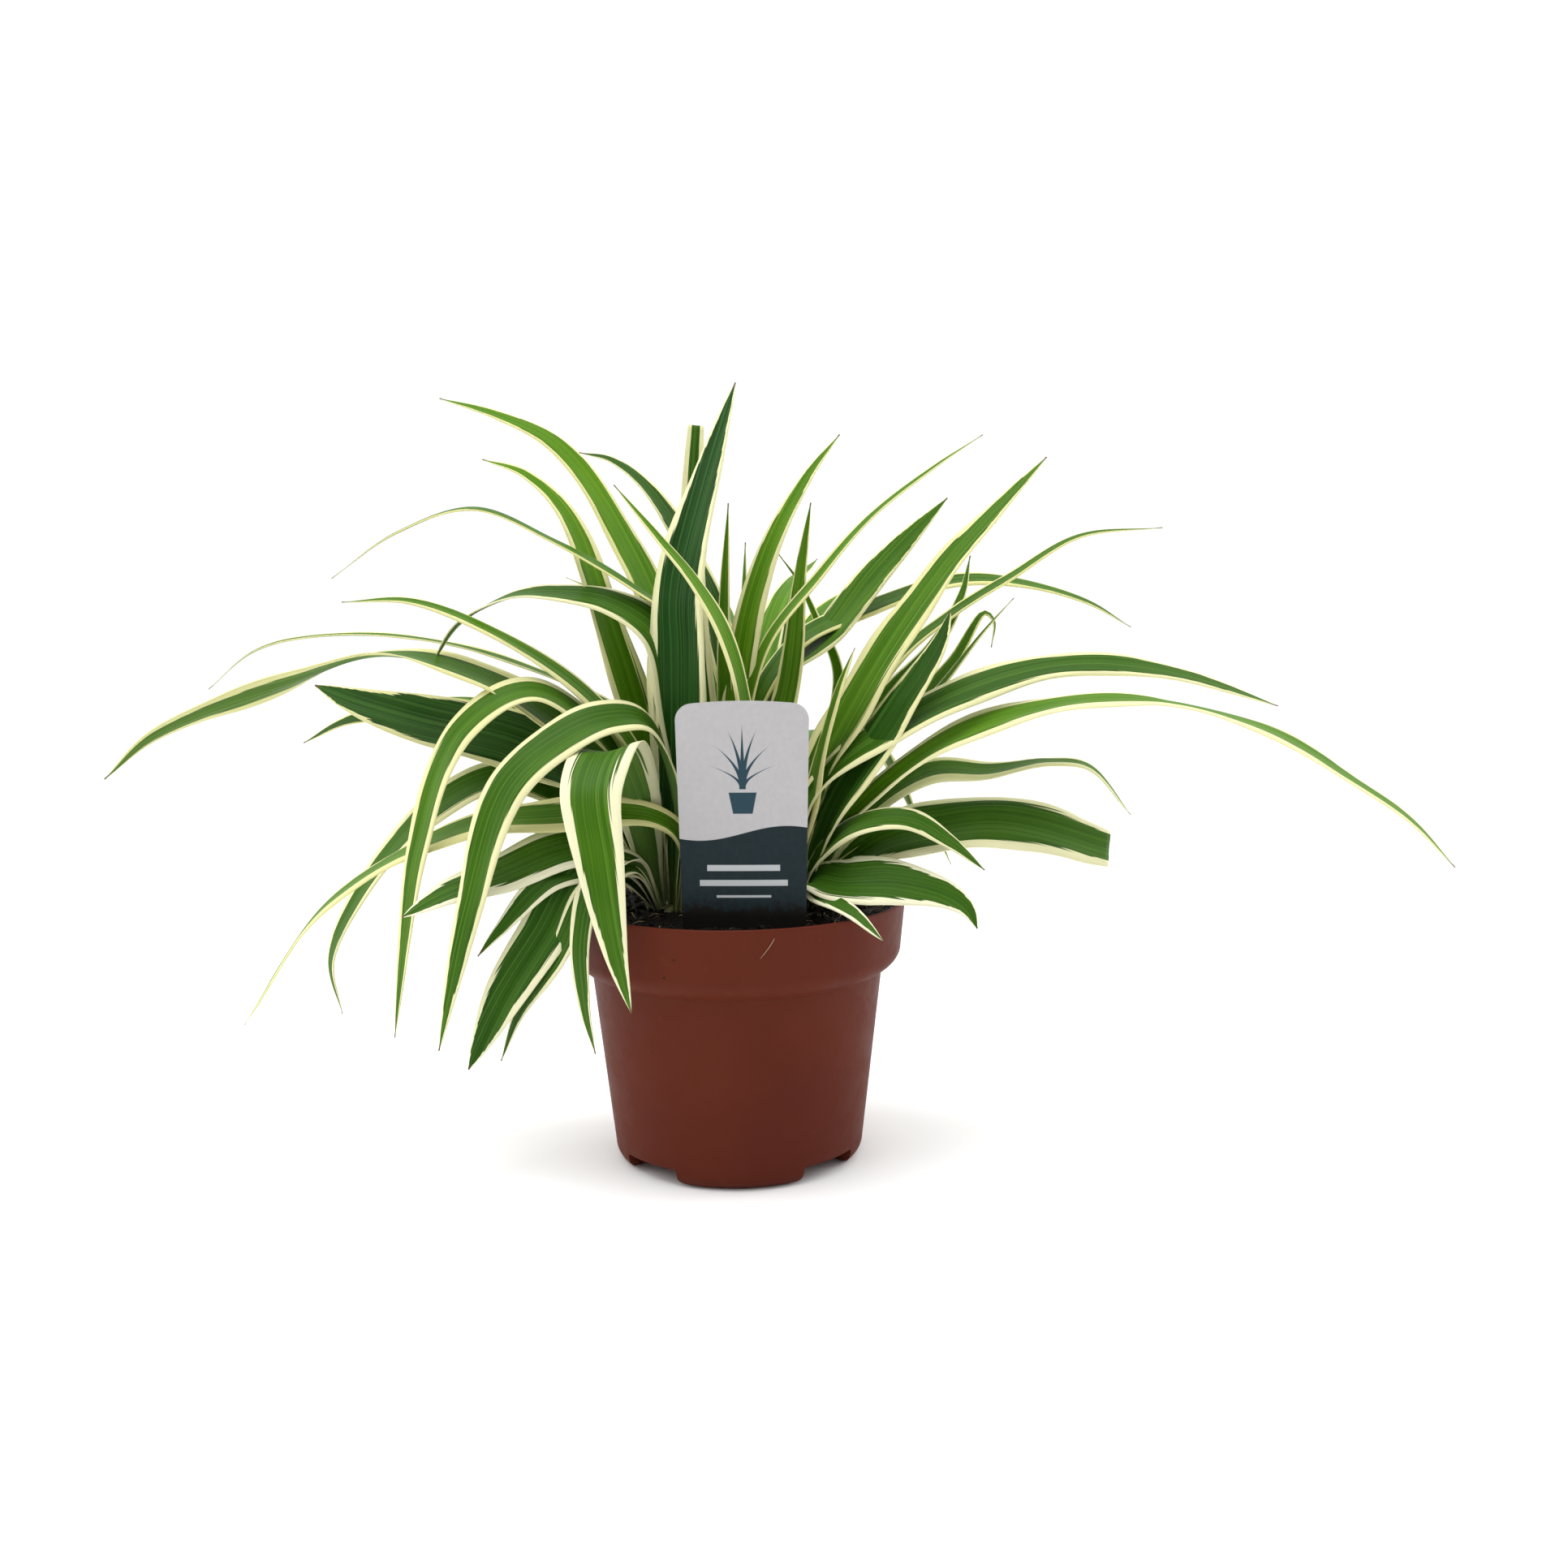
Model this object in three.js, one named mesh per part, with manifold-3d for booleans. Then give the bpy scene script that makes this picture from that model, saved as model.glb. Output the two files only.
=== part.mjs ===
// A spider plant in a moulded plastic nursery pot.
// Millimetres, +Z up. The origin is the middle of the pot's foot ring, on the surface it stands on.
// +X is the viewer's right and -Y is the front, where the plant label stands.

import * as THREE from "three";
import { mergeVertices } from "three/addons/utils/BufferGeometryUtils.js";
import Module from "manifold-3d";

const wasm = await Module();
wasm.setup();

// ---- driving dimensions ----------------------------------------------------------------------

const CLEARANCE = 0.3; // gap between pieces that touch on the real plant

const SMALLEST_STEP = 0.1; // surface detail under this is merged

const POT = {
  height: 93,
  rimRadius: 60, // a 12 cm nursery pot
  rimFootRadius: 58.3,
  rimFootHeight: 76, // where the rim band starts to curve in to the wall
  rimUnderside: 71, // height that the curve turns at
  neckRadius: 51.6,
  neckHeight: 67.8,
  baseRadius: 43.8,
  cornerRadius: 5.5,
  footHeight: 6.3,
  footInnerRadius: 35.5,
  footCount: 4,
  footGap: 24, // width of the opening between two feet
  footCorner: 3,
  footFillet: 1.5,
  wall: 1.3,
  floor: 1.6,
  lipRadius: 0.6,
  drainCount: 4,
  drainRadius: 3.5,
  drainRing: 27,
  drainSides: 10,
  sides: 36,
};

const SOIL = {
  level: 88.5,
  mound: 1.6, // rise from the wall to the middle
  holeRadius: 10.5,
  holeDepth: 20,
  rings: 6,
  // waves that make the surface lumpy: radians per millimetre along X and Y, and height
  waves: [
    { alongX: 0.41, alongY: 0.37, height: 0.5 },
    { alongX: -0.29, alongY: 0.52, height: 0.4 },
    { alongX: 0.83, alongY: -0.71, height: 0.3 },
  ],
};

const LABEL = {
  width: 44,
  footWidth: 40.5,
  top: 165,
  cornerRadius: 5,
  thickness: 0.7,
  shoulder: 84, // below this height the card narrows to its pointed foot
  pointHeight: 62,
  pointWidth: 8,
  x: 2.5,
  y: -41,
  turn: 4, // degrees; the right edge comes forward
};

// The short root stock that a crown's leaves grow from.
const STOCK = {
  radius: 9,
  top: 91.5,
  neckRadius: 5,
  neckHeight: 5,
  footRadius: 5.4,
  footHeight: 6,
  sides: 12,
};

const BLADE = {
  segments: 9, // along a long leaf
  shortSegments: 7, // along a leaf under shortLength
  shortLength: 160,
  ribThickness: 0.95,
  edgeThickness: 0.65,
  baseFold: 40, // degrees each half of the blade is folded up at its foot
  tipFold: 10,
  baseWidth: 0.34, // share of the full width where the leaf leaves the root stock
  fullWidthAt: 0.45, // share of the length where the leaf reaches its full width
  unfoldedAt: 0.5, // share of the length where the fold has opened out
  tipRound: 2.3, // the higher, the later the blade narrows towards its tip
  lateRound: 4, // the same for a blade that keeps its width for longer
  taper: 0.9,
  bluntRound: 6, // the same for a blade with a blunt end
  bluntNarrowing: 0.35, // share of its width that a blunt blade loses at its end
  tipWidth: 1.1,
  start: 6, // distance from the middle of the root stock
  startHeight: 89,
};

// The crowns planted together in the pot.
const SHOOTS = {
  left: { x: -24, y: -5 },
  centre: { x: -3, y: 2 },
  right: { x: 20, y: -4 },
  back: { x: 2, y: 24 },
};

// One row for each leaf of each crown. "route" gives places on the leaf's rib, as [x, y, z], from just
// above the root stock to the tip. "turn" says how far the blade is turned about its rib, in degrees,
// at evenly spaced places from its foot to its tip. A "late" blade keeps its width for longer, and
// a "blunt" one keeps most of it to a cut end.
const LEAVES = {
  // the long arching leaves on the left and the broad ones that fall over the rim
  left: [
    { width: 19, turn: [-42, -42],
      route: [[-31, 3, 140], [-44, 3, 190], [-57, 2, 227], [-71, 1, 241], [-85, 0, 246]] },
    { width: 22, turn: [-45, -45, -48, -25, 30],
      route: [[-20, -4, 150], [-25, -6, 184], [-42, -6, 197], [-60, -6, 200], [-76, -6, 199],
        [-94, -7, 190], [-103, -8, 177]] },
    { width: 12, turn: [-30, -30],
      route: [[-33, -6, 140], [-49, -8, 164], [-81, -12, 187], [-108, -14, 198], [-131, -16, 198]] },
    { width: 22, turn: [-35, -38, -34, 0, 50, 50],
      route: [[-38, -6, 130], [-60, -6, 153], [-83, -9, 170], [-118, -17, 180], [-148, -28, 171],
        [-186, -43, 156], [-200, -49, 143]] },
    { width: 27, turn: [-30, -50, -60], late: true,
      route: [[-45, 0, 130], [-76, 2, 148], [-109, 4, 156], [-135, 5, 164], [-147, 6, 169]] },
    { width: 17, turn: [-25, -45],
      route: [[-41, 4, 130], [-83, 10, 152], [-114, 12, 158], [-137, 13, 156], [-154, 14, 148]] },
    { width: 17, turn: [-35, -35],
      route: [[-40, -8, 140], [-67, -16, 167], [-91, -24, 155], [-106, -29, 116], [-111, -32, 85],
        [-115, -35, 53]] },
    { width: 22, turn: [-15, -32, -35],
      route: [[-21, -13, 128], [-30, -20, 156], [-42, -25, 158], [-56, -31, 153], [-74, -38, 138],
        [-87, -44, 99], [-98, -48, 52]] },
    { width: 27, turn: [20, 10, 0, 0],
      route: [[-33, -18, 125], [-41, -34, 148], [-46, -50, 138], [-43, -57, 115], [-39, -60, 88],
        [-34, -61, 67]] },
    { width: 20, turn: [-30, -50, -20, -10, -10],
      route: [[-19, -14, 114], [-28, -22, 124], [-65, -22, 125], [-93, -20, 121], [-140, -16, 95],
        [-172, -12, 52]] },
    { width: 12, turn: [0, 0],
      route: [[-35, -22, 108], [-46, -38, 106], [-51, -46, 88], [-50, -48, 66], [-47, -48, 50]] },
    { width: 17, turn: [-50, -50, -45],
      route: [[-45, 0, 116], [-80, 2, 136], [-109, 3, 123], [-132, 2, 97], [-144, 0, 72], [-141, 0, 52]] },
    { width: 19, turn: [-45, -45], late: true,
      route: [[-38, -20, 108], [-55, -26, 115], [-80, -31, 107], [-96, -36, 102], [-110, -40, 95]] },
    { width: 14, turn: [-45, -45],
      route: [[-42, -24, 106], [-61, -32, 106], [-79, -37, 89], [-86, -38, 81]] },
    { width: 21, turn: [-45, -45], late: true,
      route: [[-36, -22, 107], [-52, -31, 107], [-65, -35, 87], [-78, -38, 67], [-90, -40, 43]] },
    { width: 12, turn: [-30, -30],
      route: [[-36, -26, 107], [-49, -38, 101], [-60, -39, 80], [-73, -36, 61], [-80, -34, 44]] },
    { width: 9, turn: [-20, -20], route: [[-45, 10, 138], [-85, 14, 161], [-118, 16, 163]] },
    { width: 30, turn: [30, 65, 65, 65],
      route: [[-19, -10, 130], [-18, -14, 180], [-18, -14, 200], [-10, -12, 232], [2, -10, 270]] },
    { width: 9, turn: [-30, -30], route: [[-38, -12, 106], [-55, -18, 112], [-68, -24, 108]] },
    { width: 8, turn: [-15, -15],
      route: [[-20, -4, 140], [-21, -3, 190], [-34, -4, 202], [-61, -6, 218], [-87, -7, 229],
        [-114, -7, 221], [-136, -8, 206]] },
  ],
  // the upright leaves
  centre: [
    { width: 19, turn: [-40, -40],
      route: [[-12, 6, 140], [-32, 12, 206], [-60, 13, 251], [-81, 13, 262], [-101, 12, 268]] },
    { width: 9, turn: [-30, -30], blunt: true,
      route: [[-8, 6, 130], [-13, 9, 190], [-14, 10, 230], [-12, 10, 258]] },
    { width: 8, turn: [0, 0], route: [[-2, 4, 130], [-3, 6, 190], [-1, 8, 231]] },
    { width: 17, turn: [50, 50],
      route: [[0, 2, 140], [5, 3, 188], [14, 3, 216], [27, 4, 240], [38, 4, 254]] },
    { width: 9, turn: [28, 28],
      route: [[1, -3, 130], [11, -3, 180], [30, -2, 205], [49, -2, 226], [70, -2, 242], [87, -2, 253]] },
    { width: 12, turn: [55, 55], route: [[10, 6, 130], [20, 8, 170], [24, 9, 205], [28, 9, 231]] },
    { width: 12, turn: [-75, -75],
      route: [[5, -18, 125], [3, -30, 165], [-3, -32, 187], [-12, -32, 203], [-24, -32, 218],
        [-38, -31, 235]] },
  ],
  // the long arching leaves on the right
  right: [
    { width: 24, turn: [45, 45], route: [[26, -8, 125], [42, -12, 161], [72, -16, 207], [106, -18, 244]] },
    { width: 9, turn: [25, 25],
      route: [[34, 0, 130], [56, 2, 174], [76, 2, 191], [97, 2, 204], [121, 2, 218], [151, 2, 221]] },
    { width: 18, turn: [50, 50], route: [[26, -14, 125], [34, -20, 162], [41, -21, 181]] },
    { width: 10, turn: [40, 40],
      route: [[38, -2, 128], [58, -2, 155], [77, -2, 175], [88, -2, 192], [91, -3, 189], [90, -4, 180]] },
    { width: 13, turn: [40, 40],
      route: [[32, 2, 125], [53, 5, 160], [71, 6, 180], [81, 6, 198], [84, 6, 212]] },
    { width: 7, turn: [20, 20], route: [[45, -5, 135], [73, -7, 168], [87, -8, 186], [97, -8, 197]] },
    { width: 20, turn: [30, 36, 36],
      route: [[27, -16, 130], [63, -25, 159], [95, -28, 172], [120, -28, 175], [150, -28, 171],
        [184, -26, 160]] },
    { width: 20, turn: [50, 50, 30, 0, 8, 10],
      route: [[32, -15, 112], [69, -29, 148], [104, -42, 162], [133, -58, 164], [163, -82, 156],
        [181, -102, 143], [192, -113, 134], [200, -126, 122]] },
    { width: 20, turn: [40, 60], late: true,
      route: [[34, -18, 125], [55, -24, 160], [69, -25, 182], [73, -24, 193]] },
    { width: 17, turn: [35, 40, 30, 10, 20],
      route: [[40, -10, 118], [67, -14, 138], [88, -15, 138], [108, -16, 141], [122, -16, 139],
        [137, -16, 122]] },
    { width: 25, turn: [40, 40], blunt: true,
      route: [[50, -14, 113], [72, -18, 119], [88, -20, 121], [102, -21, 119], [128, -22, 111]] },
    { width: 15, turn: [35, 35],
      route: [[28, -16, 107], [40, -27, 121], [58, -32, 124], [71, -34, 117], [83, -36, 107]] },
    { width: 26, turn: [10, 40, 40],
      route: [[27, -20, 101], [36, -30, 102], [53, -35, 103], [70, -38, 99], [77, -39, 94],
        [80, -40, 88]] },
    { width: 8, turn: [20, 20], route: [[36, -6, 106], [58, -10, 120], [70, -12, 114], [75, -12, 105]] },
    { width: 12, turn: [10, 10], route: [[27, -20, 97], [31, -38, 98], [39, -50, 95], [47, -56, 88]] },
    { width: 8, turn: [20, 20], route: [[27, -14, 98], [36, -26, 102], [47, -38, 96]] },
  ],
  // leaves that show above and between the others
  back: [
    { width: 8, turn: [-12, -12],
      route: [[-12, 20, 135], [-60, 14, 168], [-107, 10, 184], [-147, 8, 186], [-168, 7, 181],
        [-184, 6, 168]] },
    { width: 16, turn: [28, 28],
      route: [[6, 24, 150], [22, 24, 180], [47, 24, 193], [88, 22, 204], [127, 20, 196], [145, 20, 186]] },
    { width: 20, turn: [-40, -40],
      route: [[0, 24, 150], [-12, 24, 206], [-29, 22, 236], [-42, 22, 247], [-54, 22, 250]] },
    { width: 8, turn: [0, 0], route: [[3, 26, 140], [4, 27, 185], [5, 28, 218]] },
    { width: 13, turn: [0, 0], route: [[10, 32, 130], [18, 38, 170], [22, 40, 200]] },
    { width: 26, turn: [15, 10, 8, 55, 65],
      route: [[8, 22, 130], [15, 22, 163], [37, 22, 187], [52, 22, 206], [78, 22, 233]] },
    { width: 7, turn: [30, 30],
      route: [[26, 30, 120], [39, 32, 168], [31, 32, 190], [25, 32, 203], [17, 32, 214]] },
  ],
};

// Leaves of the back crown that arch away over the back of the pot, fanned out by a rule. Upright
// and drooping ones take turns, and multiples of the golden ratio spread their sizes. An arch gives
// places on the rib as shares of the reach: how far out, and how far up.
const REAR = {
  count: 11,
  firstHeading: 35, // degrees; 0 is right and 90 is back
  lastHeading: 150,
  reach: 130,
  reachSpread: 30,
  width: 13,
  widthSpread: 6,
  uprightArch: [[0.1, 0.4], [0.3, 0.68], [0.62, 0.8]],
  droopingArch: [[0.2, 0.3], [0.48, 0.4], [0.7, 0.1]],
  turn: 10,
  golden: 0.618,
};

const COLOUR = { pot: 0x74402f, soil: 0x241c17, label: 0xcfcecd, leaf: 0x4f7f3a };

// ---- meshes and solids -----------------------------------------------------------------------

const radians = THREE.MathUtils.degToRad;

function toSolid(geometry) {
  const bare = geometry.clone();
  bare.deleteAttribute("normal");
  bare.deleteAttribute("uv");
  const merged = mergeVertices(bare, 1e-4);
  return new wasm.Manifold(new wasm.Mesh({
    numProp: 3,
    vertProperties: new Float32Array(merged.attributes.position.array),
    triVerts: new Uint32Array(merged.index.array),
  }));
}

function toGeometry(solid) {
  const mesh = solid.getMesh();
  const geometry = new THREE.BufferGeometry();
  geometry.setAttribute("position", new THREE.BufferAttribute(new Float32Array(mesh.vertProperties), 3));
  geometry.setIndex(new THREE.BufferAttribute(new Uint32Array(mesh.triVerts), 1));
  geometry.computeVertexNormals();
  return geometry;
}

// The largest closed body of a solid: sealed pockets are filled and loose scraps dropped.
function mainBody(solid) {
  return solid.decompose().reduce((best, next) => (next.volume() > best.volume() ? next : best));
}

function piece(name, geometry, colour, roughness) {
  const material = new THREE.MeshStandardMaterial({ color: colour, roughness, metalness: 0 });
  const mesh = new THREE.Mesh(geometry, material);
  mesh.name = name;
  return mesh;
}

// A solid of revolution about Z from [radius, height] corners.
function turned(corners, sides) {
  const outline = corners.map(([radius, height]) => new THREE.Vector2(radius, height));
  const geometry = new THREE.LatheGeometry(outline, sides);
  geometry.rotateX(Math.PI / 2);
  return geometry;
}

function disc(radius, bottom, top, sides) {
  return turned([[0, bottom], [radius, bottom], [radius, top], [0, top]], sides);
}

// [radius, height] points of a round between two directions.
function arc(centreRadius, centreHeight, radius, fromDegrees, toDegrees, steps) {
  return Array.from({ length: steps + 1 }, (_, i) => {
    const angle = radians(fromDegrees + ((toDegrees - fromDegrees) * i) / steps);
    return [centreRadius + radius * Math.cos(angle), centreHeight + radius * Math.sin(angle)];
  });
}

// ---- pot ---------------------------------------------------------------------------------------

// Radius of the outer wall at a height below the rim band.
function wallRadius(height) {
  return THREE.MathUtils.lerp(POT.baseRadius, POT.neckRadius, height / POT.neckHeight);
}

// Radius of the outer face of the rim band.
function rimRadius(height) {
  const share = (height - POT.rimFootHeight) / (POT.height - POT.rimFootHeight);
  return THREE.MathUtils.lerp(POT.rimFootRadius, POT.rimRadius, share);
}

// [radius, height] points of the curve from the wall out to the rim band, moved into the pot by
// "inset".
function rimCurve(inset) {
  const curve = new THREE.QuadraticBezierCurve(
    new THREE.Vector2(POT.neckRadius - inset, POT.neckHeight + inset),
    new THREE.Vector2(POT.rimFootRadius - inset, POT.rimUnderside + inset),
    new THREE.Vector2(POT.rimFootRadius - inset, POT.rimFootHeight + inset),
  );
  return curve.getPoints(3).map((point) => point.toArray());
}

// Middle of the round between the outer wall and the underside.
const cornerMiddle = wallRadius(POT.cornerRadius) - POT.cornerRadius;

// Corners of the inner face from the rim band down to the middle of the floor, moved into the pot
// by "inset".
function innerFace(inset) {
  const floorTop = POT.footHeight + POT.floor + inset;
  const cornerTop = floorTop + POT.cornerRadius;
  return [
    ...rimCurve(POT.wall + inset).reverse(),
    [wallRadius(cornerTop) - POT.wall - inset, cornerTop],
    [cornerMiddle - inset, floorTop],
    [0, floorTop],
  ];
}

// The pot with its foot ring still whole.
function potShell() {
  const corner = POT.cornerRadius;
  const lip = POT.lipRadius;
  return turned([
    [0, POT.footHeight],
    [POT.footInnerRadius, POT.footHeight],
    [POT.footInnerRadius, 0],
    ...arc(cornerMiddle, corner, corner, -90, 0, 4),
    ...rimCurve(0),
    ...arc(POT.rimRadius - lip, POT.height - lip, lip, 0, 180, 3),
    ...innerFace(0),
  ], POT.sides);
}

// The opening between two feet, with rounded corners. It runs past both faces of the foot ring.
function footOpening(angle) {
  const half = POT.footGap / 2;
  const flare = half + POT.footCorner;
  const inner = half - POT.footFillet;
  const top = POT.footHeight;
  const depth = POT.baseRadius;
  const outline = new THREE.Shape();
  outline.moveTo(-flare, -1);
  outline.lineTo(flare, -1);
  outline.lineTo(flare, 0);
  outline.quadraticCurveTo(half, 0, half, POT.footCorner);
  outline.lineTo(half, top - POT.footFillet);
  outline.quadraticCurveTo(half, top, inner, top);
  outline.lineTo(-inner, top);
  outline.quadraticCurveTo(-half, top, -half, top - POT.footFillet);
  outline.lineTo(-half, POT.footCorner);
  outline.quadraticCurveTo(-half, 0, -flare, 0);
  const geometry = new THREE.ExtrudeGeometry(outline, { depth, bevelEnabled: false, curveSegments: 4 });
  geometry.rotateX(Math.PI / 2);
  geometry.translate(0, POT.baseRadius + POT.cornerRadius, 0);
  geometry.rotateZ(angle);
  return geometry;
}

function potSolid() {
  let solid = toSolid(potShell());
  for (let i = 0; i < POT.footCount; i += 1) {
    const angle = ((i + 0.5) / POT.footCount) * 2 * Math.PI;
    solid = solid.subtract(toSolid(footOpening(angle)));
  }
  for (let i = 0; i < POT.drainCount; i += 1) {
    const angle = ((i + 0.5) / POT.drainCount) * 2 * Math.PI;
    const floorTop = POT.footHeight + POT.floor;
    const drain = disc(POT.drainRadius, POT.footHeight - 1, floorTop + 1, POT.drainSides);
    drain.translate(POT.drainRing * Math.cos(angle), POT.drainRing * Math.sin(angle), 0);
    solid = solid.subtract(toSolid(drain));
  }
  return solid;
}

// ---- soil --------------------------------------------------------------------------------------

// Height of the soil surface: a low mound with a lumpy face.
function soilHeight(x, y) {
  const share = Math.hypot(x, y) / POT.rimRadius;
  const lumps = SOIL.waves.map((wave) => wave.height * Math.sin(wave.alongX * x + wave.alongY * y));
  return SOIL.level + SOIL.mound * (1 - share * share) + lumps.reduce((sum, lump) => sum + lump, 0);
}

function soilSolid() {
  const edge = rimRadius(SOIL.level) - POT.wall - CLEARANCE;
  const surface = Array.from({ length: SOIL.rings }, (_, i) => [
    edge * (1 - i / (SOIL.rings - 1)), SOIL.level,
  ]);
  const geometry = turned([...innerFace(CLEARANCE).reverse(), ...surface], POT.sides);
  const position = geometry.attributes.position;
  for (let i = 0; i < position.count; i += 1) {
    if (Math.abs(position.getZ(i) - SOIL.level) < 1e-3) {
      position.setZ(i, soilHeight(position.getX(i), position.getY(i)));
    }
  }
  let solid = toSolid(geometry);
  for (const shoot of Object.values(SHOOTS)) {
    const hole = disc(SOIL.holeRadius, SOIL.level - SOIL.holeDepth, POT.height, STOCK.sides);
    hole.translate(shoot.x, shoot.y, 0);
    solid = solid.subtract(toSolid(hole));
  }
  return mainBody(solid.subtract(toSolid(labelBlank(2 * CLEARANCE))));
}

// ---- label -------------------------------------------------------------------------------------

// The card's outline extruded to its thickness and stood in place, larger all round by "grow".
function labelBlank(grow) {
  const half = LABEL.width / 2 + grow;
  const footHalf = LABEL.footWidth / 2 + grow;
  const pointHalf = LABEL.pointWidth / 2 + grow;
  const corner = LABEL.cornerRadius;
  const outline = new THREE.Shape();
  outline.moveTo(-pointHalf, LABEL.pointHeight - grow);
  outline.lineTo(pointHalf, LABEL.pointHeight - grow);
  outline.lineTo(footHalf, LABEL.shoulder);
  outline.lineTo(half, LABEL.top - corner);
  outline.quadraticCurveTo(half, LABEL.top, half - corner, LABEL.top);
  outline.lineTo(corner - half, LABEL.top);
  outline.quadraticCurveTo(-half, LABEL.top, -half, LABEL.top - corner);
  outline.lineTo(-footHalf, LABEL.shoulder);
  outline.lineTo(-pointHalf, LABEL.pointHeight - grow);
  const thickness = LABEL.thickness + 2 * grow;
  const geometry = new THREE.ExtrudeGeometry(outline, {
    depth: thickness, bevelEnabled: false, curveSegments: 6,
  });
  geometry.translate(0, 0, -thickness / 2);
  geometry.rotateX(Math.PI / 2);
  geometry.rotateZ(-radians(LABEL.turn));
  geometry.translate(LABEL.x, LABEL.y, 0);
  return geometry;
}

// ---- leaves ------------------------------------------------------------------------------------

function smooth(value) {
  const u = THREE.MathUtils.clamp(value, 0, 1);
  return u * u * (3 - 2 * u);
}

function rearLeaves() {
  return Array.from({ length: REAR.count }, (_, i) => {
    const heading = THREE.MathUtils.lerp(REAR.firstHeading, REAR.lastHeading, i / (REAR.count - 1));
    const chance = (i * REAR.golden) % 1;
    const otherChance = (2 * i * REAR.golden) % 1;
    const reach = REAR.reach + REAR.reachSpread * chance;
    const arch = i % 2 ? REAR.uprightArch : REAR.droopingArch;
    const turn = REAR.turn * (2 * chance - 1);
    return {
      width: REAR.width + REAR.widthSpread * otherChance,
      turn: [turn, turn],
      route: arch.map(([out, up]) => [
        SHOOTS.back.x + reach * out * Math.cos(radians(heading)),
        SHOOTS.back.y + reach * out * Math.sin(radians(heading)),
        BLADE.startHeight + reach * up,
      ]),
    };
  });
}

// Value at a share t of the way along evenly spaced values.
function valueAt(values, t) {
  const place = t * (values.length - 1);
  const before = Math.min(Math.floor(place), values.length - 2);
  return THREE.MathUtils.lerp(values[before], values[before + 1], place - before);
}

// Full width of the blade at a share t of its length, as a share of the leaf's width.
function widthShare(t, leaf) {
  const swell = BLADE.baseWidth + (1 - BLADE.baseWidth) * smooth(t / BLADE.fullWidthAt);
  const round = leaf.late ? BLADE.lateRound : BLADE.tipRound;
  const end = leaf.blunt
    ? 1 - BLADE.bluntNarrowing * t ** BLADE.bluntRound
    : (1 - t ** round) ** BLADE.taper;
  return swell * end;
}

// A leaf as a thin closed strip, folded up along its rib. Unturned, it lies level across its way.
function bladeGeometry(leaf, shoot) {
  const middle = new THREE.Vector3(shoot.x, shoot.y, BLADE.startHeight);
  const route = leaf.route.map((place) => new THREE.Vector3(...place));
  const outwards = route[0].clone().sub(middle).setZ(0).normalize();
  const foot = middle.clone().addScaledVector(outwards, BLADE.start);
  const rib = new THREE.CatmullRomCurve3([foot, ...route]);
  const tip = route.at(-1);
  const level = new THREE.Vector3(middle.y - tip.y, tip.x - middle.x, 0).normalize();
  const segments = rib.getLength() < BLADE.shortLength ? BLADE.shortSegments : BLADE.segments;
  const corners = [];
  for (let ring = 0; ring <= segments; ring += 1) {
    const t = ring / segments;
    const point = rib.getPointAt(t);
    const along = rib.getTangentAt(t);
    const across = level.clone().projectOnPlane(along).normalize();
    across.applyAxisAngle(along, radians(valueAt(leaf.turn, t)));
    const upper = new THREE.Vector3().crossVectors(along, across);
    const half = Math.max(leaf.width * widthShare(t, leaf), BLADE.tipWidth) / 2;
    const unfolded = smooth(t / BLADE.unfoldedAt);
    const fold = radians(THREE.MathUtils.lerp(BLADE.baseFold, BLADE.tipFold, unfolded));
    const corner = (side, face) => {
      const thickness = side === 0 ? BLADE.ribThickness : BLADE.edgeThickness;
      return point.clone()
        .addScaledVector(across, side * half * Math.cos(fold))
        .addScaledVector(upper, Math.abs(side) * half * Math.sin(fold) + (face * thickness) / 2);
    };
    corners.push(corner(-1, 1), corner(0, 1), corner(1, 1), corner(1, -1), corner(0, -1), corner(-1, -1));
  }
  return ringGeometry(corners, 6);
}

// A closed skin over rings of corners, with flat ends.
function ringGeometry(corners, perRing) {
  const rings = corners.length / perRing;
  const index = [];
  const quad = (a, b, c, d) => index.push(a, c, b, a, d, c);
  for (let ring = 0; ring < rings - 1; ring += 1) {
    for (let k = 0; k < perRing; k += 1) {
      const next = (k + 1) % perRing;
      const low = ring * perRing;
      const high = low + perRing;
      // the upper and lower faces take the same diagonal
      if (k < perRing / 2) {
        quad(low + k, low + next, high + next, high + k);
      } else {
        quad(low + next, high + next, high + k, low + k);
      }
    }
  }
  const last = (rings - 1) * perRing;
  quad(1, 0, 5, 4);
  quad(2, 1, 4, 3);
  quad(last, last + 1, last + 4, last + 5);
  quad(last + 1, last + 2, last + 3, last + 4);
  const numbers = corners.flatMap((corner) => corner.toArray());
  const geometry = new THREE.BufferGeometry();
  geometry.setAttribute("position", new THREE.Float32BufferAttribute(numbers, 3));
  geometry.setIndex(index);
  return geometry;
}

function stockSolid(shoot) {
  const bottom = SOIL.level - SOIL.holeDepth + CLEARANCE;
  const stock = turned([
    [0, bottom],
    [STOCK.footRadius, bottom],
    [STOCK.radius, bottom + STOCK.footHeight],
    [STOCK.radius, STOCK.top - STOCK.neckHeight],
    [STOCK.neckRadius, STOCK.top],
    [0, STOCK.top],
  ], STOCK.sides);
  stock.translate(shoot.x, shoot.y, 0);
  return toSolid(stock);
}

function rosetteSolid(name) {
  const leaves = name === "back" ? [...LEAVES.back, ...rearLeaves()] : LEAVES[name];
  let solid = stockSolid(SHOOTS[name]);
  for (const leaf of leaves) {
    solid = solid.add(toSolid(bladeGeometry(leaf, SHOOTS[name])));
  }
  return mainBody(solid.simplify(SMALLEST_STEP));
}

// ---- the whole plant ---------------------------------------------------------------------------

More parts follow.
